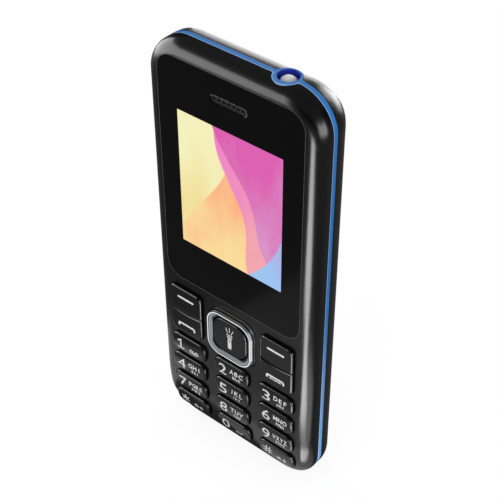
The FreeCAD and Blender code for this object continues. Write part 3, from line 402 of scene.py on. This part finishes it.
def earpiece_grille():
    """Dark mesh with a faint metal weave."""
    made = Finish("earpiece_mesh", Specular_IOR_Level=0.15)
    weave = made.cells(0.22)
    made.set("Base Color", made.mix(made.ramp(weave, 0.1, 0.5), srgb("0c0c0d"), srgb("1c1c1e")))
    made.set("Roughness", made.ramp(made.noise(0.4), 0.3, 0.7, 0.6, 0.75))
    made.bump(weave, 0.01)
    return made


def circuit_board():
    """Green mask over copper lines, with gold pads."""
    made = Finish("circuit_board", Roughness=0.4)
    lines = made.node("TexBrick", {
        "Vector": made.points, "Scale": 1 / (3.2 * MILLIMETRE), "Mortar Size": 0.03,
        "Color1": srgb("0f4a2c"), "Color2": srgb("13552f"), "Mortar": srgb("1f7040"),
    }).outputs["Color"]
    pads = made.below(made.cells(2.4), 0.12, 0.02)
    made.set("Base Color", made.mix(pads, lines, srgb("c8a24a")))
    made.set("Metallic", pads)
    made.bump(made.cells(1.2, "DISTANCE_TO_EDGE"), 0.02)
    return made


def battery_wrap():
    """Printed sleeve: a pale label field with a stripe, between dark ends."""
    made = Finish("battery_wrap", Roughness=0.42)
    z = made.axis("Z")
    paper = made.mix(made.noise(0.6), srgb("c9ccd0"), srgb("dadde0"))
    banded = made.mix(made.between(z, *STRIPE_Z, 0.1), paper, srgb("2f74b8"))
    made.set("Base Color", made.mix(made.between(z, *LABEL_Z, 0.1), srgb("26282b"), banded))
    made.bump(made.noise(1.8), 0.02)
    return made


def battery_contacts():
    """Black moulding with gold tips at its lower edge."""
    colour = srgb("1b1b1d")
    made = plastic("connector_black", colour, 0.45, 0.3)
    tip = made.below(made.axis("Z"), CONTACT_TIP_Z, 0.05)
    dark = made.mix(made.noise(0.8), scaled(colour, 0.8), scaled(colour, 1.2))
    made.set("Base Color", made.mix(tip, dark, srgb("d9b25a")))
    made.set("Metallic", tip)
    return made


def dome_film():
    """Clear film with pressed steel domes, which stand in front of it."""
    made = Finish("dome_film")
    dome = made.below(made.axis("Y"), FILM_FRONT, 0.01)
    sheet = made.mix(made.noise(3.0), srgb("c8ccce"), srgb("dfe2e3"))
    made.set("Base Color", made.mix(dome, sheet, srgb("b9bcc0")))
    made.set("Metallic", dome)
    made.set("Roughness", made.ramp(made.noise(0.7), 0.3, 0.7, 0.2, 0.35))
    return made


def ribbon_cable():
    """Amber film over copper strands."""
    made = Finish("ribbon_cable", Roughness=0.35)
    strands = made.waves(made.axis("X"), 0.5)
    made.set("Base Color", made.mix(made.ramp(strands, -0.2, 0.2), srgb("8a4a18"), srgb("c07a2c")))
    made.bump(strands, 0.01)
    return made


def led_package():
    """White housing with yellow phosphor on top."""
    made = Finish("led_package", Roughness=0.4)
    upper = made.ramp(made.axis("Z"), LED_TOP_Z, LED_TOP_Z + 0.1)
    phosphor = made.mix(made.noise(0.2), srgb("e9d24a"), srgb("f3e27a"))
    shell = made.mix(made.noise(0.6), srgb("dedede"), srgb("efefef"))
    made.set("Base Color", made.mix(upper, shell, phosphor))
    return made


def ear_lip():
    """Lip round the earpiece slot, black with a painted highlight in grey patches along its top
    and at its right end.
    """
    made = Finish("earpiece_lip", Roughness=0.5, Specular_IOR_Level=0.02)
    # Painted highlight: grey patches above the slot and at its right end.
    above = made.ramp(made.axis("Z"), EAR_Z + 0.4, EAR_Z + 0.7)
    end = made.ramp(made.axis("X"), EAR_HALF[0] - 0.9, EAR_HALF[0] - 0.5)
    patchy = made.ramp(made.noise(0.9), 0.35, 0.6, 0.4, 1.0)
    painted_highlight = made.math("MULTIPLY", made.math("MAXIMUM", above, end), patchy)
    grey = made.mix(made.noise(0.5), srgb("505050"), srgb("6c6c6c"))
    made.set("Base Color", made.mix(painted_highlight, srgb("030303"), grey))
    return made


def make_finishes():
    """The finish of each material slot."""
    black = (0.0014, 0.0014, 0.0016, 1.0)
    return {
        "housing": plastic("housing_black", black, 0.25, 0.5, depth=0.0004),
        "rear_shell": plastic("rear_shell_black", black, 0.27, 0.5, grain=0.2, depth=0.0006),
        "chassis": plastic("chassis_grey", srgb("2c2d30"), 0.5, 0.35),
        "window": window_plate(),
        "black_mask": plastic("printed_mask", (0.0018, 0.0018, 0.002, 1.0), 0.6, 0.05),
        "mesh": earpiece_grille(),
        "capsule": metal("capsule_can", srgb("9a9ca0"), 0.3),
        "lcd": plastic("display_glass", srgb("14161a"), 0.1, 0.5, grain=1.0, depth=0.0005),
        "backlight": plastic("backlight_tray", srgb("d4d6d8"), 0.4, 0.4),
        "flex": ribbon_cable(),
        "trim": band_blue(),
        "lens": lens(),
        "led": led_package(),
        "chrome": ring_chrome(),
        "keycap": plastic("keycap_black", black, 0.2, 0.5, grain=0.1, depth=0.0003),
        "silicone": plastic("silicone_mat", srgb("5a5c60"), 0.6, 0.3),
        "dome_film": dome_film(),
        "board": circuit_board(),
        "tinplate": metal("tinplate", srgb("b4b6b8"), 0.3, brush=(1, 1, 12)),
        "battery": battery_wrap(),
        "connector": battery_contacts(),
        "screw": metal("screw_steel", srgb("a4a6aa"), 0.28),
    }


def read_slots():
    """Slot of each node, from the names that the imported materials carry."""
    return {name: piece.material_slots[0].material.name.split(".")[0]
            for name, piece in nodes.items()}


def dress_nodes(node_slots, finishes):
    own_finish = {"camera_window": camera_glass(), "loudspeaker": speaker_cloth()}
    for name, piece in nodes.items():
        finish = own_finish.get(name) or finishes[node_slots[name]]
        for slot in piece.material_slots:
            slot.material = finish.material


# ---------------------------------------------------------------- mesh helpers
def link_piece(name, mesh, finish, body):
    mesh.materials.append(finish.material)
    piece = bpy.data.objects.new(name, mesh)
    bpy.context.scene.collection.objects.link(piece)
    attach(piece, body)


def arc(x, z, radius, start, end, steps):
    """Points of an arc; angles in degrees, anticlockwise from +X."""
    points = []
    for step in range(steps + 1):
        angle = math.radians(start + (end - start) * step / steps)
        points.append((x + radius * math.cos(angle), z + radius * math.sin(angle)))
    return points


def loop(x, z, radius):
    """Path of a stroke round a circle; the stroke's round ends close its last gap."""
    return arc(x, z, radius, 0, 345, 20)


def rounded_outline(x, z, half_x, half_z, radius, steps=10):
    points = []
    corners = ((1, 1, 0), (-1, 1, 90), (-1, -1, 180), (1, -1, 270))
    for side_x, side_z, start in corners:
        points += arc(x + side_x * (half_x - radius), z + side_z * (half_z - radius),
                      radius, start, start + 90, steps)
    return points


def ribbon(path, width):
    """Outline of a stroke along a path, with round ends."""
    end_steps = 6
    left, right = [], []
    half = width / 2
    for index, (x, z) in enumerate(path):
        before = path[max(index - 1, 0)]
        after = path[min(index + 1, len(path) - 1)]
        along = math.atan2(after[1] - before[1], after[0] - before[0])
        left.append((x - half * math.sin(along), z + half * math.cos(along)))
        right.append((x + half * math.sin(along), z - half * math.cos(along)))
    first = math.degrees(math.atan2(path[1][1] - path[0][1], path[1][0] - path[0][0]))
    last = math.degrees(math.atan2(path[-1][1] - path[-2][1], path[-1][0] - path[-2][0]))
    head = arc(*path[-1], half, last + 90, last - 90, end_steps)
    tail = arc(*path[0], half, first - 90, first - 270, end_steps)
    return left + head + right[::-1] + tail


# ---------------------------------------------------------------- printed legends
def chin_depth(z):
    """How far the face has bent back at a height."""
    if z >= CHIN_START:
        return 0.0
    return CHIN_RADIUS - math.sqrt(CHIN_RADIUS ** 2 - (CHIN_START - z) ** 2)


def cap_surface(z):
    """Y of a flat key top at a height."""
    return FACE - CAP_RISE + chin_depth(z)


def crown_surface(key_z):
    """Top of a digit key: a cylinder across the phone that stands square on the bent face."""
    turn = math.asin(max(CHIN_START - key_z, 0) / CHIN_RADIUS)
    middle_y = cap_surface(key_z) + CROWN_RADIUS * math.cos(turn)
    middle_z = key_z + CROWN_RADIUS * math.sin(turn)
    return lambda z: middle_y - math.sqrt(CROWN_RADIUS ** 2 - (z - middle_z) ** 2)


class Print:
    """Raised ink on one key, built up from flat outlines and words.

    The surface is a function that gives Y of the key's top at a height Z."""

    def __init__(self, surface):
        self.surface = surface
        self.points = []
        self.faces = []

    def add_shape(self, points, faces):
        """Points are (x, height over the key's top, z)."""
        first = len(self.points)
        self.points += points
        self.faces += [[first + corner for corner in face] for face in faces]

    def add_outline(self, outline):
        count = len(outline)
        points = [(x, -PRINT_THICKNESS, z) for x, z in outline]
        points += [(x, PRINT_THICKNESS, z) for x, z in outline]
        faces = [list(range(count)), list(range(2 * count - 1, count - 1, -1))]
        for corner in range(count):
            following = (corner + 1) % count
            faces.append([corner, corner + count, following + count, following])
        self.add_shape(points, faces)

    def add_stroke(self, path, width=SIGN_STROKE):
        self.add_outline(ribbon(path, width))

    def add_sign(self, sign, x, z, height, width=None, widest=None, bolder=0.0):
        """A sign in the built-in font, centred, at the height of its capitals or digits."""
        curve = bpy.data.curves.new("sign", "FONT")
        curve.body = sign
        curve.resolution_u = 4
        curve.extrude = 1.0
        curve.offset = bolder
        holder = bpy.data.objects.new("sign", curve)
        bpy.context.scene.collection.objects.link(holder)
        bpy.context.view_layer.update()
        mesh = bpy.data.meshes.new_from_object(
            holder.evaluated_get(bpy.context.evaluated_depsgraph_get()))
        corners = [vertex.co for vertex in mesh.vertices]
        low = [min(co[axis] for co in corners) for axis in (0, 1)]
        high = [max(co[axis] for co in corners) for axis in (0, 1)]
        scale_z = height / (high[1] - low[1])
        natural = (high[0] - low[0]) * scale_z
        wide = width or min(natural, widest or natural)
        scale_x = wide / (high[0] - low[0])
        middle_x, middle_z = (low[0] + high[0]) / 2, (low[1] + high[1]) / 2
        points = [(x + (co.x - middle_x) * scale_x,
                   -PRINT_THICKNESS if co.z > 0 else PRINT_THICKNESS,
                   z + (co.y - middle_z) * scale_z) for co in corners]
        self.add_shape(points, [list(face.vertices) for face in mesh.polygons])
        bpy.data.objects.remove(holder)
        bpy.data.curves.remove(curve)
        bpy.data.meshes.remove(mesh)

    def add_letters(self, letters, x, z, height, pitch):
        for index, letter in enumerate(letters):
            letter_x = x + (index - (len(letters) - 1) / 2) * pitch
            self.add_sign(letter, letter_x, z, height, widest=LETTER_FILL * pitch,
                          bolder=LETTER_BOLDER)

    def lay(self, name, body, ink):
        """Cut the flat print in level strips, lay it on the key and link it."""
        mesh = bpy.data.meshes.new(name)
        mesh.from_pydata(self.points, [], self.faces)
        flat = bmesh.new()
        flat.from_mesh(mesh)
        low = min(point[2] for point in self.points)
        high = max(point[2] for point in self.points)
        for step in range(1, math.ceil((high - low) / PRINT_STEP)):
            bmesh.ops.bisect_plane(
                flat, geom=flat.verts[:] + flat.edges[:] + flat.faces[:],
                plane_co=(0, 0, low + step * PRINT_STEP), plane_no=(0, 0, 1))
        for vertex in flat.verts:
            x, height, z = vertex.co
            vertex.co = place(x, self.surface(z) + height, z)
        bmesh.ops.recalc_face_normals(flat, faces=flat.faces)
        flat.to_mesh(mesh)
        flat.free()
        link_piece(name, mesh, ink, body)


def digit_keys():
    """Name, letters and place of each of the twelve keys."""
    rows = (
        (("1", ""), ("2", "ABC"), ("3", "DEF")),
        (("4", "GHI"), ("5", "JKL"), ("6", "MNO")),
        (("7", "PQRS"), ("8", "TUV"), ("9", "WXYZ")),
        (("star", ""), ("0", ""), ("hash", "")),
    )
    for row, keys in enumerate(rows):
        for column, (name, letters) in enumerate(keys):
            yield name, letters, (column - 1) * COLUMN_PITCH, FIRST_ROW_Z - row * ROW_PITCH


def print_digits(ink):
    drawn = {"1": add_one, "star": add_star, "hash": add_hash}
    for name, letters, x, z in digit_keys():
        made = Print(crown_surface(z))
        sign_x, sign_z = x + DIGIT_SHIFT[0], z + DIGIT_SHIFT[1]
        if name in drawn:
            drawn[name](made, sign_x, sign_z)
        else:
            made.add_sign(name, sign_x, sign_z, DIGIT_SIZE[1], width=DIGIT_SIZE[0])
        if letters:
            count = len(letters)
            made.add_letters(letters, x + LETTER_SHIFT[0], z + LETTER_SHIFT[1],
                             LETTER_HEIGHT, LETTER_PITCH[count])
            made.add_letters(letters.lower(), x + SMALL_LETTER_SHIFT[0], z + SMALL_LETTER_SHIFT[1],
                             SMALL_LETTER_HEIGHT, SMALL_LETTER_PITCH[count])
        add_small_sign(made, name, x, z)
        made.lay("key_%s_print" % name, "key_%s_button" % name, ink)


def add_one(made, x, z):
    """The digit one: stem, flag and foot."""
    high = z + DIGIT_SIZE[1] / 2 - DIGIT_STROKE / 2
    low = z - DIGIT_SIZE[1] / 2 + DIGIT_STROKE / 2
    flag_z = z + DIGIT_SIZE[1] / 2 - 0.75
    for path in ([(x, high), (x, low)], [(x - 0.85, flag_z), (x, high)],
                 [(x - 0.9, low), (x + 0.9, low)]):
        made.add_stroke(path, DIGIT_STROKE)


def add_star(made, x, z):
    for turn in range(3):
        angle = math.radians(90 + 60 * turn)
        reach_x, reach_z = STAR_REACH * math.cos(angle), STAR_REACH * math.sin(angle)
        made.add_stroke([(x - reach_x, z - reach_z), (x + reach_x, z + reach_z)], STAR_STROKE)


def add_hash(made, x, z):
    """Two leaning uprights and two level bars."""
    half_x, half_z, lean = 1.3, DIGIT_SIZE[1] / 2 - 0.15, 0.25
    for side in (-0.5, 0.5):
        made.add_stroke([(x + side - lean, z - half_z), (x + side + lean, z + half_z)])
        made.add_stroke([(x - half_x, z + side), (x + half_x, z + side)])


def add_small_sign(made, name, x, z):
    """Tape loops on 1, a space bar on 0, a ring and a plus on star, a box and an arrow on hash."""
    x, z = x + SMALL_LETTER_SHIFT[0], z + SMALL_LETTER_SHIFT[1] + SMALL_SIGN_RISE
    if name == "1":
        for side in (-1, 1):
            made.add_stroke(loop(x + side * 0.8, z, 0.45))
        made.add_stroke([(x - 0.8, z - 0.45), (x + 0.8, z - 0.45)])
    elif name == "0":
        made.add_stroke([(x - 0.9, z + 0.25), (x - 0.9, z - 0.2), (x + 0.9, z - 0.2),
                         (x + 0.9, z + 0.25)])
    elif name == "star":
        made.add_stroke(loop(x - 0.75, z, 0.5))
        made.add_stroke([(x + 0.3, z), (x + 1.3, z)])
        made.add_stroke([(x + 0.8, z - 0.5), (x + 0.8, z + 0.5)])
    elif name == "hash":
        made.add_stroke([(x - 1.25, z - 0.4), (x - 0.35, z - 0.4), (x - 0.35, z + 0.3),
                         (x - 1.25, z + 0.3), (x - 1.25, z - 0.4)])
        made.add_outline([(x + 0.2, z), (x + 0.9, z + 0.7), (x + 1.6, z)])
        made.add_stroke([(x + 0.9, z), (x + 0.9, z - 0.55)], 0.4)


def handset_path(x, z):
    half, drop = HANDSET_HALF, HANDSET_DROP
    bend = drop / 2
    left = arc(x - half + bend, z - bend, bend, 180, 90, 5)
    right = arc(x + half - bend, z - bend, bend, 90, 0, 5)
    return [(x - half, z - drop)] + left + right + [(x + half, z - drop)]


def print_side_keys(ink):
    """A dash on each soft key and a handset on the call key and the end key."""
    half = DASH_SIZE[0] / 2 - DASH_SIZE[1] / 2
    for name, x in (("soft_key_left", -SIDE_KEY_X), ("soft_key_right", SIDE_KEY_X)):
        made = Print(cap_surface)
        made.add_stroke([(x - half, DASH_Z), (x + half, DASH_Z)], DASH_SIZE[1])
        made.lay(name + "_print", name + "_button", ink)
    for name, x in (("call_key", -SIDE_KEY_X), ("end_key", SIDE_KEY_X)):
        made = Print(cap_surface)
        made.add_stroke(handset_path(x, HANDSET_Z), HANDSET_STROKE)
        if name == "end_key":
            rest_z = HANDSET_Z - HANDSET_DROP
            made.add_stroke([(x - REST_HALF, rest_z), (x + REST_HALF, rest_z)])
        made.lay(name + "_print", name + "_button", ink)


def print_torch_sign(ink, shade):
    """A torch that shines upwards: three beams, two rims, a neck, and a handle with its switch."""
    top = FACE - OK_RISE
    made = Print(lambda z: top)
    for foot_x, tip_x in ((-0.5, -1.1), (0.0, 0.0), (0.5, 1.1)):
        lower = abs(foot_x)
        made.add_stroke([(foot_x, BEAM_FOOT_Z - lower), (tip_x, BEAM_TIP_Z - lower)], BEAM_STROKE)
    for half, z in ((0.75, 38.95), (0.65, 38.3)):
        made.add_stroke([(-half, z), (half, z)])
    made.add_outline([(-0.55, 37.95), (0.55, 37.95), (0.42, 37.5), (-0.42, 37.5)])
    made.add_outline(rounded_outline(0, HANDLE_Z, *HANDLE_HALF, HANDLE_RADIUS))
    made.lay("ok_key_print", "ok_button", ink)
    switch = Print(lambda z: top - PRINT_THICKNESS)
    switch.add_outline(arc(0, SWITCH_Z, SWITCH_RADIUS, 0, 345, 23))    # 24 corners
    switch.lay("ok_key_print_dot", "ok_button", shade)


# ---------------------------------------------------------------- beads on the face
def add_bead(name, path, radius, finish):
    """A fine half-round bead along a closed path on the face."""
    count, steps = len(path), 8
    points, faces = [], []
    for index, (x, z) in enumerate(path):
        before, after = path[index - 1], path[(index + 1) % count]
        along = Vector((after[0] - before[0], after[1] - before[1])).normalized()
        out_x, out_z = along.y, -along.x
        for step in range(steps + 1):
            angle = math.pi * step / steps
            reach = radius * math.cos(angle)
            rise = radius * BEAD_RISE * math.sin(angle)
            points.append(place(x + out_x * reach, FACE - rise, z + out_z * reach))
    ring = steps + 1
    for index in range(count):
        here, following = index * ring, (index + 1) % count * ring
        for step in range(steps):
            faces.append([here + step, here + step + 1, following + step + 1, following + step])
        faces.append([here + steps, here, following, following + steps])
    mesh = bpy.data.meshes.new(name)
    mesh.from_pydata(points, [], faces)
    shell = bmesh.new()
    shell.from_mesh(mesh)
    bmesh.ops.recalc_face_normals(shell, faces=shell.faces)
    shell.to_mesh(mesh)
    shell.free()
    mesh.shade_smooth()
    link_piece(name, mesh, finish, "case")


# ---------------------------------------------------------------- studio
def studio_paper():
    """Pale paper. Its glow, which makes it white, is seen by the camera, metal and glass."""
    made = Finish("studio_paper", Roughness=0.9, Specular_IOR_Level=0.0)
    made.set("Base Color", made.mix(made.noise(40.0), scaled(WHITE, 0.14), scaled(WHITE, 0.16)))
    path = made.node("LightPath")
    seen = made.math("MAXIMUM", path.outputs["Is Camera Ray"], path.outputs["Is Glossy Ray"])
    seen = made.math("MAXIMUM", seen, path.outputs["Is Transmission Ray"])
    glow = made.ramp(made.distance("X", "Y", (0.0, 0.0)), *GLOW_REACH, FLOOR_GLOW, 1.0)
    made.set("Emission Color", WHITE)
    made.set("Emission Strength", made.math("MULTIPLY", seen, glow))
    return made


def add_sheet(name, points, faces, paper, receivers):
    mesh = bpy.data.meshes.new(name)
    mesh.from_pydata(points, [], faces)
    mesh.materials.append(paper.material)
    sheet = bpy.data.objects.new(name, mesh)
    bpy.context.scene.collection.objects.link(sheet)
    sheet.light_linking.receiver_collection = receivers
    return sheet


def add_sweep(receivers):
    """Round floor with a low wall at its edge, which is the backdrop of level views."""
    low, high, sides = [], [], []
    for step in range(WALL_SIDES):
        angle = 2 * math.pi * step / WALL_SIDES
        x, y = WALL_RADIUS * math.cos(angle), WALL_RADIUS * math.sin(angle)
        low.append(place(x, y, 0))
        high.append(place(x, y, WALL_HEIGHT))
        following = (step + 1) % WALL_SIDES
        sides.append((step, following, following + WALL_SIDES, step + WALL_SIDES))
    paper = studio_paper()
    add_sheet("floor", low, [tuple(range(WALL_SIDES))], paper, receivers)
    wall = add_sheet("wall", low + high, sides, paper, receivers)
    wall.visible_diffuse = False
    wall.visible_shadow = False


def add_lamp(name, centre, turn, width, height, luminance):
    """Rectangular soft lamp that the camera doesn't see."""
    light = bpy.data.lights.new(name, "AREA")
    light.shape = "RECTANGLE"
    light.size = width * MILLIMETRE
    light.size_y = height * MILLIMETRE
    light.energy = luminance * math.pi * light.size * light.size_y
    lamp = bpy.data.objects.new(name, light)
    lamp.location = place(*centre)
    lamp.rotation_euler = turn
    lamp.visible_camera = False
    bpy.context.scene.collection.objects.link(lamp)
    return lamp


def add_aimed_lamp(name, centre, aim_z, width, height, luminance):
    """Lamp aimed at the phone's upright axis, at a height."""
    aim = place(0, 0, aim_z) - place(*centre)
    turn = aim.to_track_quat("-Z", "Y").to_euler()
    return add_lamp(name, centre, turn, width, height, luminance)


def add_floor_lamp(name, x, y, width, height, luminance, turn=0.0):
    """Lamp that lies on the floor and faces up."""
    return add_lamp(name, (x, y, FLOOR_LAMP_Z), (math.pi, 0, turn), width, height, luminance)


def around(azimuth, distance, z):
    """A place round the phone; azimuth 0 is in front of the screen, 90 to its right."""
    angle = math.radians(azimuth)
    return distance * math.sin(angle), -distance * math.cos(angle), z


def light_only(lamp, receivers, diffuse=True, glossy=True):
    """Let a lamp reach certain pieces only, with plain light, its mirror image or both."""
    lamp.visible_diffuse = diffuse
    lamp.visible_glossy = glossy
    lamp.light_linking.receiver_collection = receivers


def mirror_only(lamp, receivers):
    """Show a lamp as a mirror image in certain pieces, but not in images of those images."""
    light = lamp.data
    light.use_nodes = True
    tree = light.node_tree
    path = tree.nodes.new("ShaderNodeLightPath")
    first = tree.nodes.new("ShaderNodeMath")
    first.operation = "LESS_THAN"
    first.inputs[1].default_value = IMAGE_DEPTH
    tree.links.new(path.outputs["Ray Depth"], first.inputs[0])
    tree.links.new(first.outputs[0], tree.nodes["Emission"].inputs["Strength"])
    light_only(lamp, receivers, diffuse=False)


def add_soft_lamps():
    """Large soft lamps at a plain level. They give light but no mirror image."""
    size, distance = 600.0, 600.0
    spots = (
        ("front_soft", around(0, distance, 300), 2.3),
        ("right_soft", around(90, distance, 300), 1.9),
        ("left_soft", around(-90, distance, 300), 1.9),
        ("back_soft", around(180, distance, 300), 1.2),
        ("top_soft", (0, 0, 800), 1.0),
    )
    for name, centre, level in spots:
        lamp = add_aimed_lamp(name, centre, 55, size, size, level)
        lamp.visible_glossy = False


def add_panels(receivers, receivers_behind):
    """Bright panels whose mirror images draw the highlights of the dark plastic."""
    panels = (
        # name, azimuth, distance, low edge, high edge, width, share of luminance, receivers
        ("left_panel", -67, 350, 2, 340, 640, 0.135, receivers),
        ("right_panel", 87, 400, 2, 200, 400, 0.17, receivers),
        ("back_panel", -166, 400, 2, 320, 480, 0.13, receivers_behind),
    )
    for name, azimuth, distance, low, high, width, share, seen_in in panels:
        middle = (low + high) / 2
        panel = add_aimed_lamp(name, around(azimuth, distance, middle), middle,
                               width, high - low, PANEL_LUMINANCE * share)
        mirror_only(panel, seen_in)


def add_strips(receivers):
    """Lamps on the floor whose images lie in the front shell's edge, the face and the keys."""
    strips = (
        # name, near edge, far edge, width, shift to the right, share of luminance
        ("near_strip", 3, 18, 12, 4, 0.24),
        ("middle_strip", 18, 60, 22, 2, 0.3),
        ("far_strip", 60, 210, 62, 1, 0.3),
        ("face_glow", 2, 70, 70, -24, 0.007),
        ("low_glow", 2, 26, 70, -24, 0.010),
        ("side_glow", 2, 30, 34, 17, 0.06),
    )
    turn = math.atan2(STRIP_RUN.x, -STRIP_RUN.y)
    for name, near, far, width, shift, share in strips:
        middle = STRIP_START + STRIP_RUN * (near + far) / 2 + Vector((shift, 0))
        strip = add_floor_lamp(name, middle.x, middle.y, width, far - near,
                               PANEL_LUMINANCE * share, turn)
        mirror_only(strip, receivers)
    left = add_floor_lamp("left_strip", -37.0, 4.0, width=24, height=56, luminance=0.65)
    mirror_only(left, receivers)


def add_ring_light(receivers):
    """A low lamp at the right that catches the outer slope of the chrome ring."""
    lamp = add_floor_lamp("ring_light", 50.0, -24.0, width=44, height=36, luminance=5.0)
    light_only(lamp, receivers, diffuse=False)


def add_back_lights(receivers):
    """A panel for the highlight on the back's upper corner, and light floor behind the phone,
    where the back's upper edge is white in its image."""
    level = 255
    panel = add_aimed_lamp("corner_panel", around(166, 400, level), level,
                           width=230, height=330, luminance=PANEL_LUMINANCE * 0.18)
    mirror_only(panel, receivers)
    x, y = around(-145, 300, 0)[:2]
    glow = add_floor_lamp("back_glow", x, y, width=220, height=220, luminance=4.0)
    mirror_only(glow, receivers)


def add_band_lights(receivers):
    """Light thrown up by the floor on the low part of the blue band, and plain light beside it."""
    glow = add_floor_lamp("band_glow", 36.0, 4.0, width=24, height=60, luminance=2.0)
    light_only(glow, receivers)
    level = 60
    side = add_aimed_lamp("band_side", around(90, 400, level), level,
                          width=300, height=300, luminance=1.7)
    light_only(side, receivers, glossy=False)


def gather(name, pieces):
    found = bpy.data.collections.new(name)
    for piece in pieces:
        found.objects.link(piece)
    return found


def add_camera():
    camera_data = bpy.data.cameras.new("camera")
    camera_data.sensor_width = SENSOR_WIDTH
    camera_data.lens = CAMERA_LENS
    camera_data.clip_start, camera_data.clip_end = CAMERA_CLIP
    camera = bpy.data.objects.new("camera", camera_data)
    camera.location = place(*CAMERA_PLACE)
    camera.rotation_euler = Euler([math.radians(turn) for turn in CAMERA_TURN])
    bpy.context.scene.collection.objects.link(camera)
    bpy.context.scene.camera = camera


def set_world():
    world = bpy.data.worlds.new("studio")
    world.use_nodes = True
    background = world.node_tree.nodes["Background"]
    background.inputs["Color"].default_value = WHITE
    background.inputs["Strength"].default_value = WORLD_LEVEL
    bpy.context.scene.world = world
    bpy.context.scene.view_settings.view_transform = "Standard"


# ---------------------------------------------------------------- putting it together
add_camera()
set_world()
node_slots = read_slots()
finishes = make_finishes()
dress_nodes(node_slots, finishes)

ink = plastic("legend_white", srgb("fcfcfc"), 0.5, 0.3, spread=0.03)
print_digits(ink)
print_side_keys(ink)
print_torch_sign(ink, finishes["keycap"])
bead_path = rounded_outline(0, SCREEN_Z, WINDOW_HALF[0] + BEAD_OUT, WINDOW_HALF[1] + BEAD_OUT,
                            WINDOW_RADIUS + BEAD_OUT, steps=16)
# Partly painted highlight: the bead is mid-grey rather than black, so that it draws a light line
# round the window; it also takes real highlights.
bead = plastic("bead_grey_highlight", scaled(WHITE, 0.11), 0.5, 0.03)
add_bead("window_bead", bead_path, BEAD_RADIUS, bead)
ear_path = rounded_outline(0, EAR_Z, *EAR_HALF, EAR_HALF[1] - 0.01, steps=16)
add_bead("earpiece_bead", ear_path, EAR_BEAD_RADIUS, ear_lip())

# The receivers are listed before the floor and the wall come in, which take no panel light.
shiny_slots = ("chrome", "lens", "capsule", "tinplate", "screw")
shiny = [piece for name, piece in nodes.items() if node_slots[name] in shiny_slots]
plain_lit = (nodes["nav_ring"], nodes["camera_window"])
panel_lit = [piece for piece in bpy.context.scene.objects
             if piece.type == "MESH" and piece not in plain_lit]
lit_from_behind = [piece for piece in panel_lit if piece != nodes["front_housing"]]
add_sweep(gather("glow_receivers", shiny))
add_soft_lamps()
panel_receivers = gather("panel_receivers", panel_lit)
add_panels(panel_receivers, gather("behind_receivers", lit_from_behind))
add_strips(panel_receivers)
add_ring_light(gather("ring_receivers", [nodes["nav_ring"]]))
add_back_lights(gather("back_receivers", [nodes["back_cover"]]))
add_band_lights(gather("band_receivers", [nodes["trim_band"]]))
